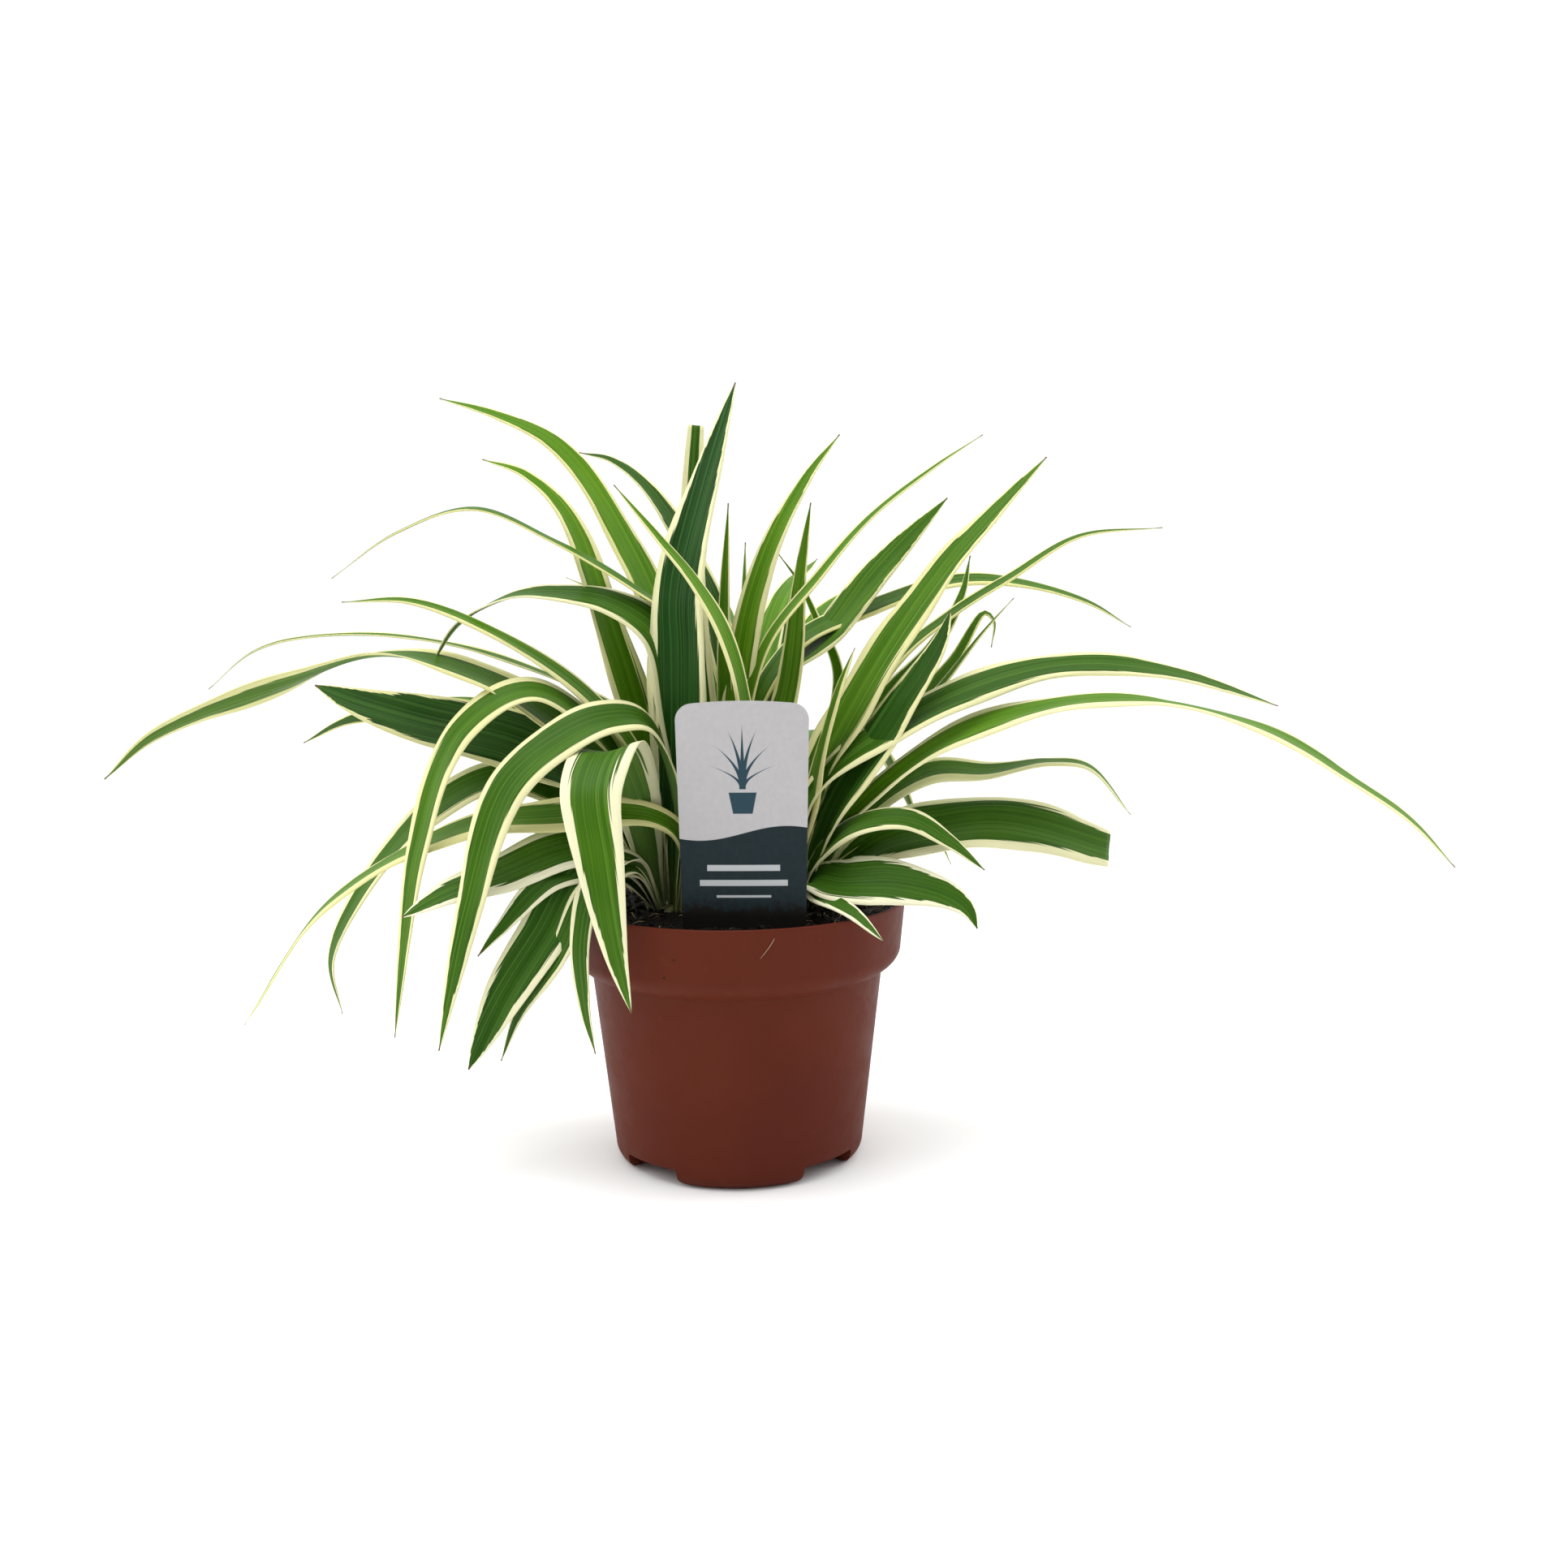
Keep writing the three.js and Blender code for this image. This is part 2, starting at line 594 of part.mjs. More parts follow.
const plant = new THREE.Group();
plant.add(piece("pot", toGeometry(potSolid()), COLOUR.pot, 0.45));
plant.add(piece("soil", toGeometry(soilSolid()), COLOUR.soil, 0.95));
plant.add(piece("label", labelBlank(0), COLOUR.label, 0.4));
for (const name of Object.keys(SHOOTS)) {
  plant.add(piece(`rosette_${name}`, toGeometry(rosetteSolid(name)), COLOUR.leaf, 0.5));
}

export default plant;
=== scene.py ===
# A variegated spider plant in a 12 cm nursery pot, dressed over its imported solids.
# Sizes are in millimetres, as in the solids, and become metres when a mesh or a light is made.
# +X is the viewer's right and -Y is the front, where the plant label stands.

import math
import random

import bmesh
import bpy
import numpy as np
from mathutils import Matrix, Vector, noise


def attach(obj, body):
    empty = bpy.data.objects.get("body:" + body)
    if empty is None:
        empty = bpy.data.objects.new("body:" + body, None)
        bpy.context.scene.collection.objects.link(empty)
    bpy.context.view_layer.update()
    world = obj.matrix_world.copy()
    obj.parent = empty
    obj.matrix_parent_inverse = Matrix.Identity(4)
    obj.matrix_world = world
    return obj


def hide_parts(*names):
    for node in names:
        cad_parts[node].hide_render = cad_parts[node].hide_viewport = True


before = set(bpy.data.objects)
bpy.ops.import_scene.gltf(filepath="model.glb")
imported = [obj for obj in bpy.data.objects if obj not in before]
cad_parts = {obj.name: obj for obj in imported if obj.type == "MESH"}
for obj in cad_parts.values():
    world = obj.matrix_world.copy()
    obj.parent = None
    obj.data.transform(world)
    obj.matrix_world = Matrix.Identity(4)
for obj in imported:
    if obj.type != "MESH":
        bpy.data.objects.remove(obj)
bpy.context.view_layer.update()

MM = 0.001

# ---- sizes repeated from the solids ------------------------------------------------------------

POT = dict(
    height=93, rim_radius=60, rim_foot_radius=58.3, rim_foot_height=76, rim_underside=71,
    neck_radius=51.6, neck_height=67.8, base_radius=43.8, corner_radius=5.5,
    foot_height=6.3, foot_inner_radius=35.5, foot_count=4, foot_gap=24, foot_corner=3,
    foot_fillet=1.5, wall=1.3, floor=1.6, lip_radius=0.6,
    drain_radius=3.5, drain_ring=27,
)
SOIL = dict(level=88.5, mound=1.6, clearance=0.3)
SOIL_WAVES = [(0.41, 0.37, 0.5), (-0.29, 0.52, 0.4), (0.83, -0.71, 0.3)]
LABEL = dict(
    width=44, foot_width=40.5, top=165, corner_radius=5, thickness=0.7,
    shoulder=84, point_height=62, point_width=8, x=2.5, y=-41, turn=4,
)
STOCK = dict(top=91.5, bottom=68.8)
BLADE = dict(
    base_fold=40, tip_fold=10, base_width=0.34, full_width_at=0.45, unfolded_at=0.5,
    tip_round=2.3, late_round=4, taper=0.9, blunt_round=6, blunt_narrowing=0.35,
    start=6, start_height=89,
)

# The crowns planted together in the pot.
SHOOTS = dict(left=(-24, -5), centre=(-3, 2), right=(20, -4), back=(2, 24))

# One row for each leaf of each crown. "route" gives places on the leaf's rib, as [x, y, z], from just
# above the root stock to the tip. "turn" says how far the blade is turned about its rib, in degrees,
# at evenly spaced places from its foot to its tip. A "late" blade keeps its width for longer, and
# a "blunt" one keeps most of it to a cut end.
LEAVES = dict(
    # the long arching leaves on the left and the broad ones that fall over the rim
    left=[
        dict(width=19, turn=[-42, -42],
             route=[[-31, 3, 140], [-44, 3, 190], [-57, 2, 227], [-71, 1, 241], [-85, 0, 246]]),
        dict(width=22, turn=[-45, -45, -48, -25, 30],
             route=[[-20, -4, 150], [-25, -6, 184], [-42, -6, 197], [-60, -6, 200], [-76, -6, 199],
                    [-94, -7, 190], [-103, -8, 177]]),
        dict(width=12, turn=[-30, -30],
             route=[[-33, -6, 140], [-49, -8, 164], [-81, -12, 187], [-108, -14, 198], [-131, -16, 198]]),
        dict(width=22, turn=[-35, -38, -34, 0, 50, 50],
             route=[[-38, -6, 130], [-60, -6, 153], [-83, -9, 170], [-118, -17, 180], [-148, -28, 171],
                    [-186, -43, 156], [-200, -49, 143]]),
        dict(width=27, turn=[-30, -50, -60], late=True,
             route=[[-45, 0, 130], [-76, 2, 148], [-109, 4, 156], [-135, 5, 164], [-147, 6, 169]]),
        dict(width=17, turn=[-25, -45],
             route=[[-41, 4, 130], [-83, 10, 152], [-114, 12, 158], [-137, 13, 156], [-154, 14, 148]]),
        dict(width=17, turn=[-35, -35],
             route=[[-40, -8, 140], [-67, -16, 167], [-91, -24, 155], [-106, -29, 116], [-111, -32, 85],
                    [-115, -35, 53]]),
        dict(width=22, turn=[-15, -32, -35],
             route=[[-21, -13, 128], [-30, -20, 156], [-42, -25, 158], [-56, -31, 153], [-74, -38, 138],
                    [-87, -44, 99], [-98, -48, 52]]),
        dict(width=27, turn=[20, 10, 0, 0],
             route=[[-33, -18, 125], [-41, -34, 148], [-46, -50, 138], [-43, -57, 115], [-39, -60, 88],
                    [-34, -61, 67]]),
        dict(width=20, turn=[-30, -50, -20, -10, -10],
             route=[[-19, -14, 114], [-28, -22, 124], [-65, -22, 125], [-93, -20, 121], [-140, -16, 95],
                    [-172, -12, 52]]),
        dict(width=12, turn=[0, 0],
             route=[[-35, -22, 108], [-46, -38, 106], [-51, -46, 88], [-50, -48, 66], [-47, -48, 50]]),
        dict(width=17, turn=[-50, -50, -45],
             route=[[-45, 0, 116], [-80, 2, 136], [-109, 3, 123], [-132, 2, 97], [-144, 0, 72],
                    [-141, 0, 52]]),
        dict(width=19, turn=[-45, -45], late=True,
             route=[[-38, -20, 108], [-55, -26, 115], [-80, -31, 107], [-96, -36, 102], [-110, -40, 95]]),
        dict(width=14, turn=[-45, -45],
             route=[[-42, -24, 106], [-61, -32, 106], [-79, -37, 89], [-86, -38, 81]]),
        dict(width=21, turn=[-45, -45], late=True,
             route=[[-36, -22, 107], [-52, -31, 107], [-65, -35, 87], [-78, -38, 67], [-90, -40, 43]]),
        dict(width=12, turn=[-30, -30],
             route=[[-36, -26, 107], [-49, -38, 101], [-60, -39, 80], [-73, -36, 61], [-80, -34, 44]]),
        dict(width=9, turn=[-20, -20], route=[[-45, 10, 138], [-85, 14, 161], [-118, 16, 163]]),
        dict(width=30, turn=[30, 65, 65, 65],
             route=[[-19, -10, 130], [-18, -14, 180], [-18, -14, 200], [-10, -12, 232], [2, -10, 270]]),
        dict(width=9, turn=[-30, -30], route=[[-38, -12, 106], [-55, -18, 112], [-68, -24, 108]]),
        dict(width=8, turn=[-15, -15],
             route=[[-20, -4, 140], [-21, -3, 190], [-34, -4, 202], [-61, -6, 218], [-87, -7, 229],
                    [-114, -7, 221], [-136, -8, 206]]),
    ],
    # the upright leaves
    centre=[
        dict(width=19, turn=[-40, -40],
             route=[[-12, 6, 140], [-32, 12, 206], [-60, 13, 251], [-81, 13, 262], [-101, 12, 268]]),
        dict(width=9, turn=[-30, -30], blunt=True,
             route=[[-8, 6, 130], [-13, 9, 190], [-14, 10, 230], [-12, 10, 258]]),
        dict(width=8, turn=[0, 0], route=[[-2, 4, 130], [-3, 6, 190], [-1, 8, 231]]),
        dict(width=17, turn=[50, 50],
             route=[[0, 2, 140], [5, 3, 188], [14, 3, 216], [27, 4, 240], [38, 4, 254]]),
        dict(width=9, turn=[28, 28],
             route=[[1, -3, 130], [11, -3, 180], [30, -2, 205], [49, -2, 226], [70, -2, 242],
                    [87, -2, 253]]),
        dict(width=12, turn=[55, 55], route=[[10, 6, 130], [20, 8, 170], [24, 9, 205], [28, 9, 231]]),
        dict(width=12, turn=[-75, -75],
             route=[[5, -18, 125], [3, -30, 165], [-3, -32, 187], [-12, -32, 203], [-24, -32, 218],
                    [-38, -31, 235]]),
    ],
    # the long arching leaves on the right
    right=[
        dict(width=24, turn=[45, 45],
             route=[[26, -8, 125], [42, -12, 161], [72, -16, 207], [106, -18, 244]]),
        dict(width=9, turn=[25, 25],
             route=[[34, 0, 130], [56, 2, 174], [76, 2, 191], [97, 2, 204], [121, 2, 218], [151, 2, 221]]),
        dict(width=18, turn=[50, 50], route=[[26, -14, 125], [34, -20, 162], [41, -21, 181]]),
        dict(width=10, turn=[40, 40],
             route=[[38, -2, 128], [58, -2, 155], [77, -2, 175], [88, -2, 192], [91, -3, 189],
                    [90, -4, 180]]),
        dict(width=13, turn=[40, 40],
             route=[[32, 2, 125], [53, 5, 160], [71, 6, 180], [81, 6, 198], [84, 6, 212]]),
        dict(width=7, turn=[20, 20], route=[[45, -5, 135], [73, -7, 168], [87, -8, 186], [97, -8, 197]]),
        dict(width=20, turn=[30, 36, 36],
             route=[[27, -16, 130], [63, -25, 159], [95, -28, 172], [120, -28, 175], [150, -28, 171],
                    [184, -26, 160]]),
        dict(width=20, turn=[50, 50, 30, 0, 8, 10],
             route=[[32, -15, 112], [69, -29, 148], [104, -42, 162], [133, -58, 164], [163, -82, 156],
                    [181, -102, 143], [192, -113, 134], [200, -126, 122]]),
        dict(width=20, turn=[40, 60], late=True,
             route=[[34, -18, 125], [55, -24, 160], [69, -25, 182], [73, -24, 193]]),
        dict(width=17, turn=[35, 40, 30, 10, 20],
             route=[[40, -10, 118], [67, -14, 138], [88, -15, 138], [108, -16, 141], [122, -16, 139],
                    [137, -16, 122]]),
        dict(width=25, turn=[40, 40], blunt=True,
             route=[[50, -14, 113], [72, -18, 119], [88, -20, 121], [102, -21, 119], [128, -22, 111]]),
        dict(width=15, turn=[35, 35],
             route=[[28, -16, 107], [40, -27, 121], [58, -32, 124], [71, -34, 117], [83, -36, 107]]),
        dict(width=26, turn=[10, 40, 40],
             route=[[27, -20, 101], [36, -30, 102], [53, -35, 103], [70, -38, 99], [77, -39, 94],
                    [80, -40, 88]]),
        dict(width=8, turn=[20, 20], route=[[36, -6, 106], [58, -10, 120], [70, -12, 114], [75, -12, 105]]),
        dict(width=12, turn=[10, 10], route=[[27, -20, 97], [31, -38, 98], [39, -50, 95], [47, -56, 88]]),
        dict(width=8, turn=[20, 20], route=[[27, -14, 98], [36, -26, 102], [47, -38, 96]]),
    ],
    # leaves that show above and between the others
    back=[
        dict(width=8, turn=[-12, -12],
             route=[[-12, 20, 135], [-60, 14, 168], [-107, 10, 184], [-147, 8, 186], [-168, 7, 181],
                    [-184, 6, 168]]),
        dict(width=16, turn=[28, 28],
             route=[[6, 24, 150], [22, 24, 180], [47, 24, 193], [88, 22, 204], [127, 20, 196],
                    [145, 20, 186]]),
        dict(width=20, turn=[-40, -40],
             route=[[0, 24, 150], [-12, 24, 206], [-29, 22, 236], [-42, 22, 247], [-54, 22, 250]]),
        dict(width=8, turn=[0, 0], route=[[3, 26, 140], [4, 27, 185], [5, 28, 218]]),
        dict(width=13, turn=[0, 0], route=[[10, 32, 130], [18, 38, 170], [22, 40, 200]]),
        dict(width=26, turn=[15, 10, 8, 55, 65],
             route=[[8, 22, 130], [15, 22, 163], [37, 22, 187], [52, 22, 206], [78, 22, 233]]),
        dict(width=7, turn=[30, 30],
             route=[[26, 30, 120], [39, 32, 168], [31, 32, 190], [25, 32, 203], [17, 32, 214]]),
    ],
)

# Leaves of the back crown that arch away over the back of the pot, fanned out by a rule. An arch
# gives places on the rib as shares of the reach: how far out, and how far up.
REAR = dict(
    count=11, first_heading=35, last_heading=150, reach=130, reach_spread=30,
    width=13, width_spread=6, turn=10, golden=0.618,
    upright_arch=[(0.1, 0.4), (0.3, 0.68), (0.62, 0.8)],
    drooping_arch=[(0.2, 0.3), (0.48, 0.4), (0.7, 0.1)],
)

# ---- colours of single leaves --------------------------------------------------------------------

# What sets single leaves apart, by crown and number: the share of the blade's half that is cream,
# how deep its green is, how yellow its cream is, and the share of its length that has dried.
LOOKS = dict(
    left={
        1: dict(depth=0.1, margin=0.3, warmth=0.8),
        2: dict(depth=0.62, margin=0.24),
        3: dict(depth=0.3, margin=0.36, warmth=0.8),
        4: dict(depth=0.5, margin=0.34, warmth=0.85),
        5: dict(depth=0.9, margin=0.16),
        6: dict(depth=0.75, margin=0.22),
        7: dict(depth=0.45, margin=0.34, warmth=0.75),
        8: dict(depth=0.6, margin=0.3, warmth=0.6),
        9: dict(depth=0.5, margin=0.34, warmth=0.3),
        10: dict(depth=0.3, margin=0.4, warmth=0.9),
        11: dict(depth=0.7, margin=0.28, warmth=0.4, dry=0.035),
        12: dict(depth=0.55, margin=0.32),
        13: dict(depth=0.6, margin=0.34, warmth=0.05),
        14: dict(depth=0.75, margin=0.3, warmth=0.15, dry=0.05),
        15: dict(depth=0.8, margin=0.24, warmth=0.3),
        16: dict(depth=0.75, margin=0.3, warmth=0.4),
        18: dict(depth=1.0, margin=0.22, warmth=0.5),
    },
    centre={
        1: dict(depth=0.05, margin=0.24, warmth=0.9),
        2: dict(depth=0.7, margin=0.46, warmth=0.6),
        4: dict(depth=0.12, margin=0.3, warmth=0.7),
        5: dict(depth=0.2, margin=0.3, warmth=0.9),
        6: dict(depth=0.3, margin=0.16),
        7: dict(depth=0.18, margin=0.28, warmth=0.8),
    },
    right={
        1: dict(depth=0.35, margin=0.28, warmth=0.8),
        3: dict(depth=0.3, margin=0.4, warmth=0.9),
        7: dict(depth=0.65, margin=0.3, warmth=0.6),
        8: dict(depth=0.15, margin=0.34, warmth=0.6),
        9: dict(depth=0.85, margin=0.22, warmth=0.7),
        10: dict(depth=0.45, margin=0.42, warmth=0.6),
        11: dict(depth=0.62, margin=0.24, warmth=0.4),
        12: dict(depth=0.6, margin=0.26, warmth=0.5),
        13: dict(depth=0.68, margin=0.24, warmth=0.1),
        15: dict(depth=0.7, margin=0.3, warmth=0.1),
    },
    back={
        3: dict(depth=0.8, margin=0.22, warmth=0.7),
        6: dict(depth=0.45, margin=0.16, warmth=0.7),
    },
)

# ---- sizes of the finer forms --------------------------------------------------------------------

# The finer blade: a rounded channel whose margins thin out, wave and turn down a little.
FINE = dict(
    path_steps=120, short_path_steps=80, short_length=150, columns=12,
    channel_round=0.2, rib_thickness=0.85, edge_thickness=0.42, tip_width=0.5,
    wave=0.035, wave_length=46, recurve=0.12, width_noise=0.03,
)

# The label's print: a plain pictogram of blades over a pot, and bars, about the card's middle. A blade
# has its spread, height and half width, and a bar its height on the card, half length and half width.
PRINT = dict(
    ground=136, blades=[(0, 21, 1.1), (4.5, 19, 1.1), (8.5, 14, 1.1), (11, 8, 1.0)],
    pot_half=4.6, pot_height=7, bars=[(110, 12, 1.0), (105, 14.5, 1.0), (100.5, 9, 0.4)],
    wave_height=121.5, wave_rise=2.4, wave_turn=0.11,
)

# Where the largest bit of perlite lies, in front of the label.
FRONT_BIT = (-4, -50)

# The fibre on the rim: where its upper end is, how far it runs aside and down, and its curl.
RIM_FIBRE = dict(x=12, z=90, aside=5.5, down=6.5, curl=1.5, radius=0.16, gap=0.15)

# ---- meshes --------------------------------------------------------------------------------------


def make_object(name, corners, faces, materials, smooth=True):
    """A mesh object from corners in millimetres."""
    mesh = bpy.data.meshes.new(name)
    mesh.from_pydata((np.asarray(corners, float) * MM).tolist(), [], faces)
    mesh.validate()
    for material in materials:
        mesh.materials.append(material)
    mesh.shade_smooth() if smooth else mesh.shade_flat()
    result = bpy.data.objects.new(name, mesh)
    bpy.context.scene.collection.objects.link(result)
    return result


def face_outwards(target):
    """Turn the faces of closed bodies to point out."""
    work = bmesh.new()
    work.from_mesh(target.data)
    bmesh.ops.recalc_face_normals(work, faces=work.faces)
    work.to_mesh(target.data)
    work.free()


def add_values(target, name, values):
    """Store one vector for each corner of a mesh, for its material to read."""
    layer = target.data.attributes.new(name, "FLOAT_VECTOR", "POINT")
    layer.data.foreach_set("vector", np.asarray(values, np.float32).ravel())


def stands_for(target, slot, *nodes):
    """Tie a piece to the frame: to its body, which is the root, and hide the solids that it replaces. The
    slot, its finish, is not used.
    """
    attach(target, "root")
    if nodes:
        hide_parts(*nodes)
    return target


def turned_faces(rings, sides):
    """Quads of a surface of revolution whose corners run ring by ring."""
    faces = []
    for ring in range(rings - 1):
        for side in range(sides):
            after = (side + 1) % sides
            low = ring * sides
            high = low + sides
            faces.append((low + side, low + after, high + after, high + side))
    return faces


def turned_object(name, profile, sides, materials):
    """A closed body of revolution about Z from [radius, height] corners, ends near the axis."""
    angles = np.arange(sides) * 2 * math.pi / sides
    corners = [(r * math.cos(a), r * math.sin(a), z) for r, z in profile for a in angles]
    faces = turned_faces(len(profile), sides)
    last = (len(profile) - 1) * sides
    faces.append(tuple(range(sides))[::-1])
    faces.append(tuple(range(last, last + sides)))
    result = make_object(name, corners, faces, materials)
    face_outwards(result)
    return result


def arc(centre_radius, centre_height, radius, start, end, steps):
    """[radius, height] points of a round between two angles in degrees."""
    angles = np.radians(np.linspace(start, end, steps + 1))
    return [(centre_radius + radius * math.cos(a), centre_height + radius * math.sin(a)) for a in angles]


def blend_values(low, high, share):
    return low + (high - low) * share


def smooth_step(value):
    u = np.clip(value, 0, 1)
    return u * u * (3 - 2 * u)


def wander(x, y=0.0, z=0.0):
    """Smooth noise from -1 to 1."""
    return noise.noise(Vector((x, y, z)))


# ---- materials -----------------------------------------------------------------------------------


def linear(hex_colour):
    """A screen colour such as "63332a" as scene values."""
    parts = [int(hex_colour[i:i + 2], 16) / 255 for i in (0, 2, 4)]
    return [p / 12.92 if p <= 0.04045 else ((p + 0.055) / 1.055) ** 2.4 for p in parts] + [1.0]


class Recipe:
    """A material whose nodes are added by calls that return their output sockets."""

    def __init__(self, name):
        self.material = bpy.data.materials.new(name)
        self.material.use_nodes = True
        self.tree = self.material.node_tree
        self.shader = self.tree.nodes["Principled BSDF"]

    def feed(self, socket, value):
        if isinstance(value, bpy.types.NodeSocket):
            self.tree.links.new(value, socket)
        elif isinstance(value, str):
            socket.default_value = linear(value)
        else:
            socket.default_value = value

    def finish(self, **settings):
        """Set or feed sockets of the shader by name, with _ for a space."""
        for name, value in settings.items():
            self.feed(self.shader.inputs[name.replace("_", " ")], value)

    def values(self, name):
        """The three numbers stored at each corner under a name."""
        node = self.tree.nodes.new("ShaderNodeAttribute")
        node.attribute_name = name
        split = self.tree.nodes.new("ShaderNodeSeparateXYZ")
        self.tree.links.new(node.outputs["Vector"], split.inputs[0])
        return split.outputs[0], split.outputs[1], split.outputs[2]

    def place(self):
        """The point on the object, in metres."""
        return self.tree.nodes.new("ShaderNodeTexCoord").outputs["Object"]

    def vector(self, x, y, z):
        node = self.tree.nodes.new("ShaderNodeCombineXYZ")
        for socket, value in zip(node.inputs, (x, y, z)):
            self.feed(socket, value)
        return node.outputs[0]

    def calc(self, operation, *values):
        node = self.tree.nodes.new("ShaderNodeMath")
        node.operation = operation
        for socket, value in zip(node.inputs, values):
            self.feed(socket, value)
        return node.outputs[0]

    def times(self, first, second):
        return self.calc("MULTIPLY", first, second)

    def plus(self, first, second):
        return self.calc("ADD", first, second)

    def minus(self, first, second):
        return self.calc("SUBTRACT", first, second)

    def span(self, value, low, high, to_low=0.0, to_high=1.0):
        """Carry a value smoothly from one range to another, held at the ends."""
        node = self.tree.nodes.new("ShaderNodeMapRange")
        node.interpolation_type = "SMOOTHSTEP"
        for socket, number in zip(node.inputs, (value, low, high, to_low, to_high)):
            self.feed(socket, number)
        return node.outputs[0]

    def mix(self, share, first, second):
        node = self.tree.nodes.new("ShaderNodeMix")
        node.data_type = "RGBA"
        self.feed(node.inputs[0], share)
        self.feed(node.inputs[6], first)
        self.feed(node.inputs[7], second)
        return node.outputs[2]

    def noise(self, vector, scale=1.0, detail=2.0, roughness=0.5):
        node = self.tree.nodes.new("ShaderNodeTexNoise")
        self.feed(node.inputs["Vector"], vector)
        node.inputs["Scale"].default_value = scale
        node.inputs["Detail"].default_value = detail
        node.inputs["Roughness"].default_value = roughness
        return node.outputs[0]

    def cells(self, vector, scale):
        """Distance to the nearest of many scattered points."""
        node = self.tree.nodes.new("ShaderNodeTexVoronoi")
        self.feed(node.inputs["Vector"], vector)
        node.inputs["Scale"].default_value = scale
        return node.outputs["Distance"]

    def bump(self, height, distance, strength=1.0):
        node = self.tree.nodes.new("ShaderNodeBump")
        node.inputs["Strength"].default_value = strength
        node.inputs["Distance"].default_value = distance
        self.feed(node.inputs["Height"], height)
        return node.outputs[0]


def leaf_material(name, under):
    """A green blade with cream margins that run into it as streaks."""
    recipe = Recipe(name)
    across, along, side = recipe.values("blade_place")
    share, dry, seed = recipe.values("blade_size")
    margin, depth, warmth = recipe.values("blade_look")

    def streaks(across_scale, along_scale, detail=2.0):
        """Noise drawn out along the blade."""
        place = recipe.vector(recipe.times(across, across_scale), recipe.times(along, along_scale), seed)
        return recipe.noise(place, detail=detail)

    # 0 at the margin of the blade and 1 at its rib
    inward = recipe.minus(1.0, recipe.calc("ABSOLUTE", side))
    drift = recipe.noise(recipe.vector(recipe.times(side, 0.5), recipe.times(along, 0.022), seed))
    finger = streaks(0.75, 0.007)
    streak = streaks(2.3, 0.008, 1.0)
    edge = recipe.plus(margin, recipe.times(recipe.minus(drift, 0.5), 0.24))
    edge = recipe.plus(edge, recipe.times(recipe.minus(finger, 0.5), 0.34))
    edge = recipe.plus(edge, recipe.times(recipe.minus(streak, 0.5), 0.22))
    cream = recipe.span(recipe.minus(edge, inward), -0.015, 0.015)
    beside = recipe.span(recipe.minus(edge, inward), -0.12, 0.0)

    lines = streaks(1.9, 0.004)
    fine_lines = streaks(5.5, 0.006, 1.0)
    cloud = streaks(0.05, 0.03)

    green = recipe.mix(depth, "4f8402", "0f3608")
    green = recipe.mix(recipe.span(lines, 0.42, 0.7, 0.0, 0.5), green, recipe.mix(depth, "8cb436", "4a7a38"))
    green = recipe.mix(recipe.span(fine_lines, 0.35, 0.7, 0.3, 0.0), green, "0c2604")
    green = recipe.mix(recipe.span(cloud, 0.3, 0.75, 0.0, 0.35), green, recipe.mix(depth, "6f9a16", "285818"))
    green = recipe.mix(recipe.times(beside, 0.45), green, "143806")
    pale = recipe.mix(warmth, "efeccf", "dfdb94")
    pale = recipe.mix(recipe.span(fine_lines, 0.5, 0.72, 0.0, 0.22), pale, "ccd48a")
    colour = recipe.mix(cream, green, pale)

    # the foot of the blade is darkened to a dull olive as painted shade deep in the crown, and its tip dries
    # out
    colour = recipe.mix(recipe.span(share, 0.0, 0.16, 0.8, 0.0), colour, "46561f")
    start = recipe.minus(1.0, dry)
    tip = recipe.span(recipe.plus(share, recipe.times(recipe.minus(lines, 0.5), 0.02)), start, 1.0)
    colour = recipe.mix(recipe.times(tip, recipe.span(dry, 0.0, 0.005)), colour, "6f5338")
    if under:
        colour = recipe.mix(0.14, colour, "93a874")

    relief = recipe.plus(recipe.times(lines, 0.6), recipe.times(fine_lines, 0.4))
    roughness = recipe.span(lines, 0.3, 0.7, 0.36, 0.5)
    recipe.finish(
        Base_Color=colour, Roughness=roughness,
        Normal=recipe.bump(relief, 0.0005, 0.5),
        Specular_IOR_Level=0.13,
    )
    return recipe.material


def pot_material():
    """Thin moulded plastic with a soft sheen, a few specks of soil and faint rub marks."""
    recipe = Recipe("moulded_plastic")
    place = recipe.place()
    cloud = recipe.noise(place, 14.0, 3.0)
    grain = recipe.noise(place, 900.0, 2.0)
    rub = recipe.noise(place, 120.0, 4.0, 0.7)
    colour = recipe.mix(recipe.span(cloud, 0.35, 0.7), "5a2516", "522013")
    colour = recipe.mix(recipe.span(rub, 0.6, 0.8, 0.0, 0.12), colour, "865243")
    speck = recipe.span(recipe.cells(place, 95.0), 0.035, 0.055, 1.0, 0.0)
    patch = recipe.span(recipe.noise(place, 22.0, 1.0), 0.52, 0.6)
    colour = recipe.mix(recipe.times(speck, patch), colour, "2a1710")
    roughness = recipe.plus(recipe.span(rub, 0.3, 0.8, 0.46, 0.6), recipe.times(grain, 0.06))
    recipe.finish(
        Base_Color=colour, Roughness=roughness, Specular_IOR_Level=0.08,
        Normal=recipe.bump(grain, 0.00012, 0.35),
    )
    return recipe.material


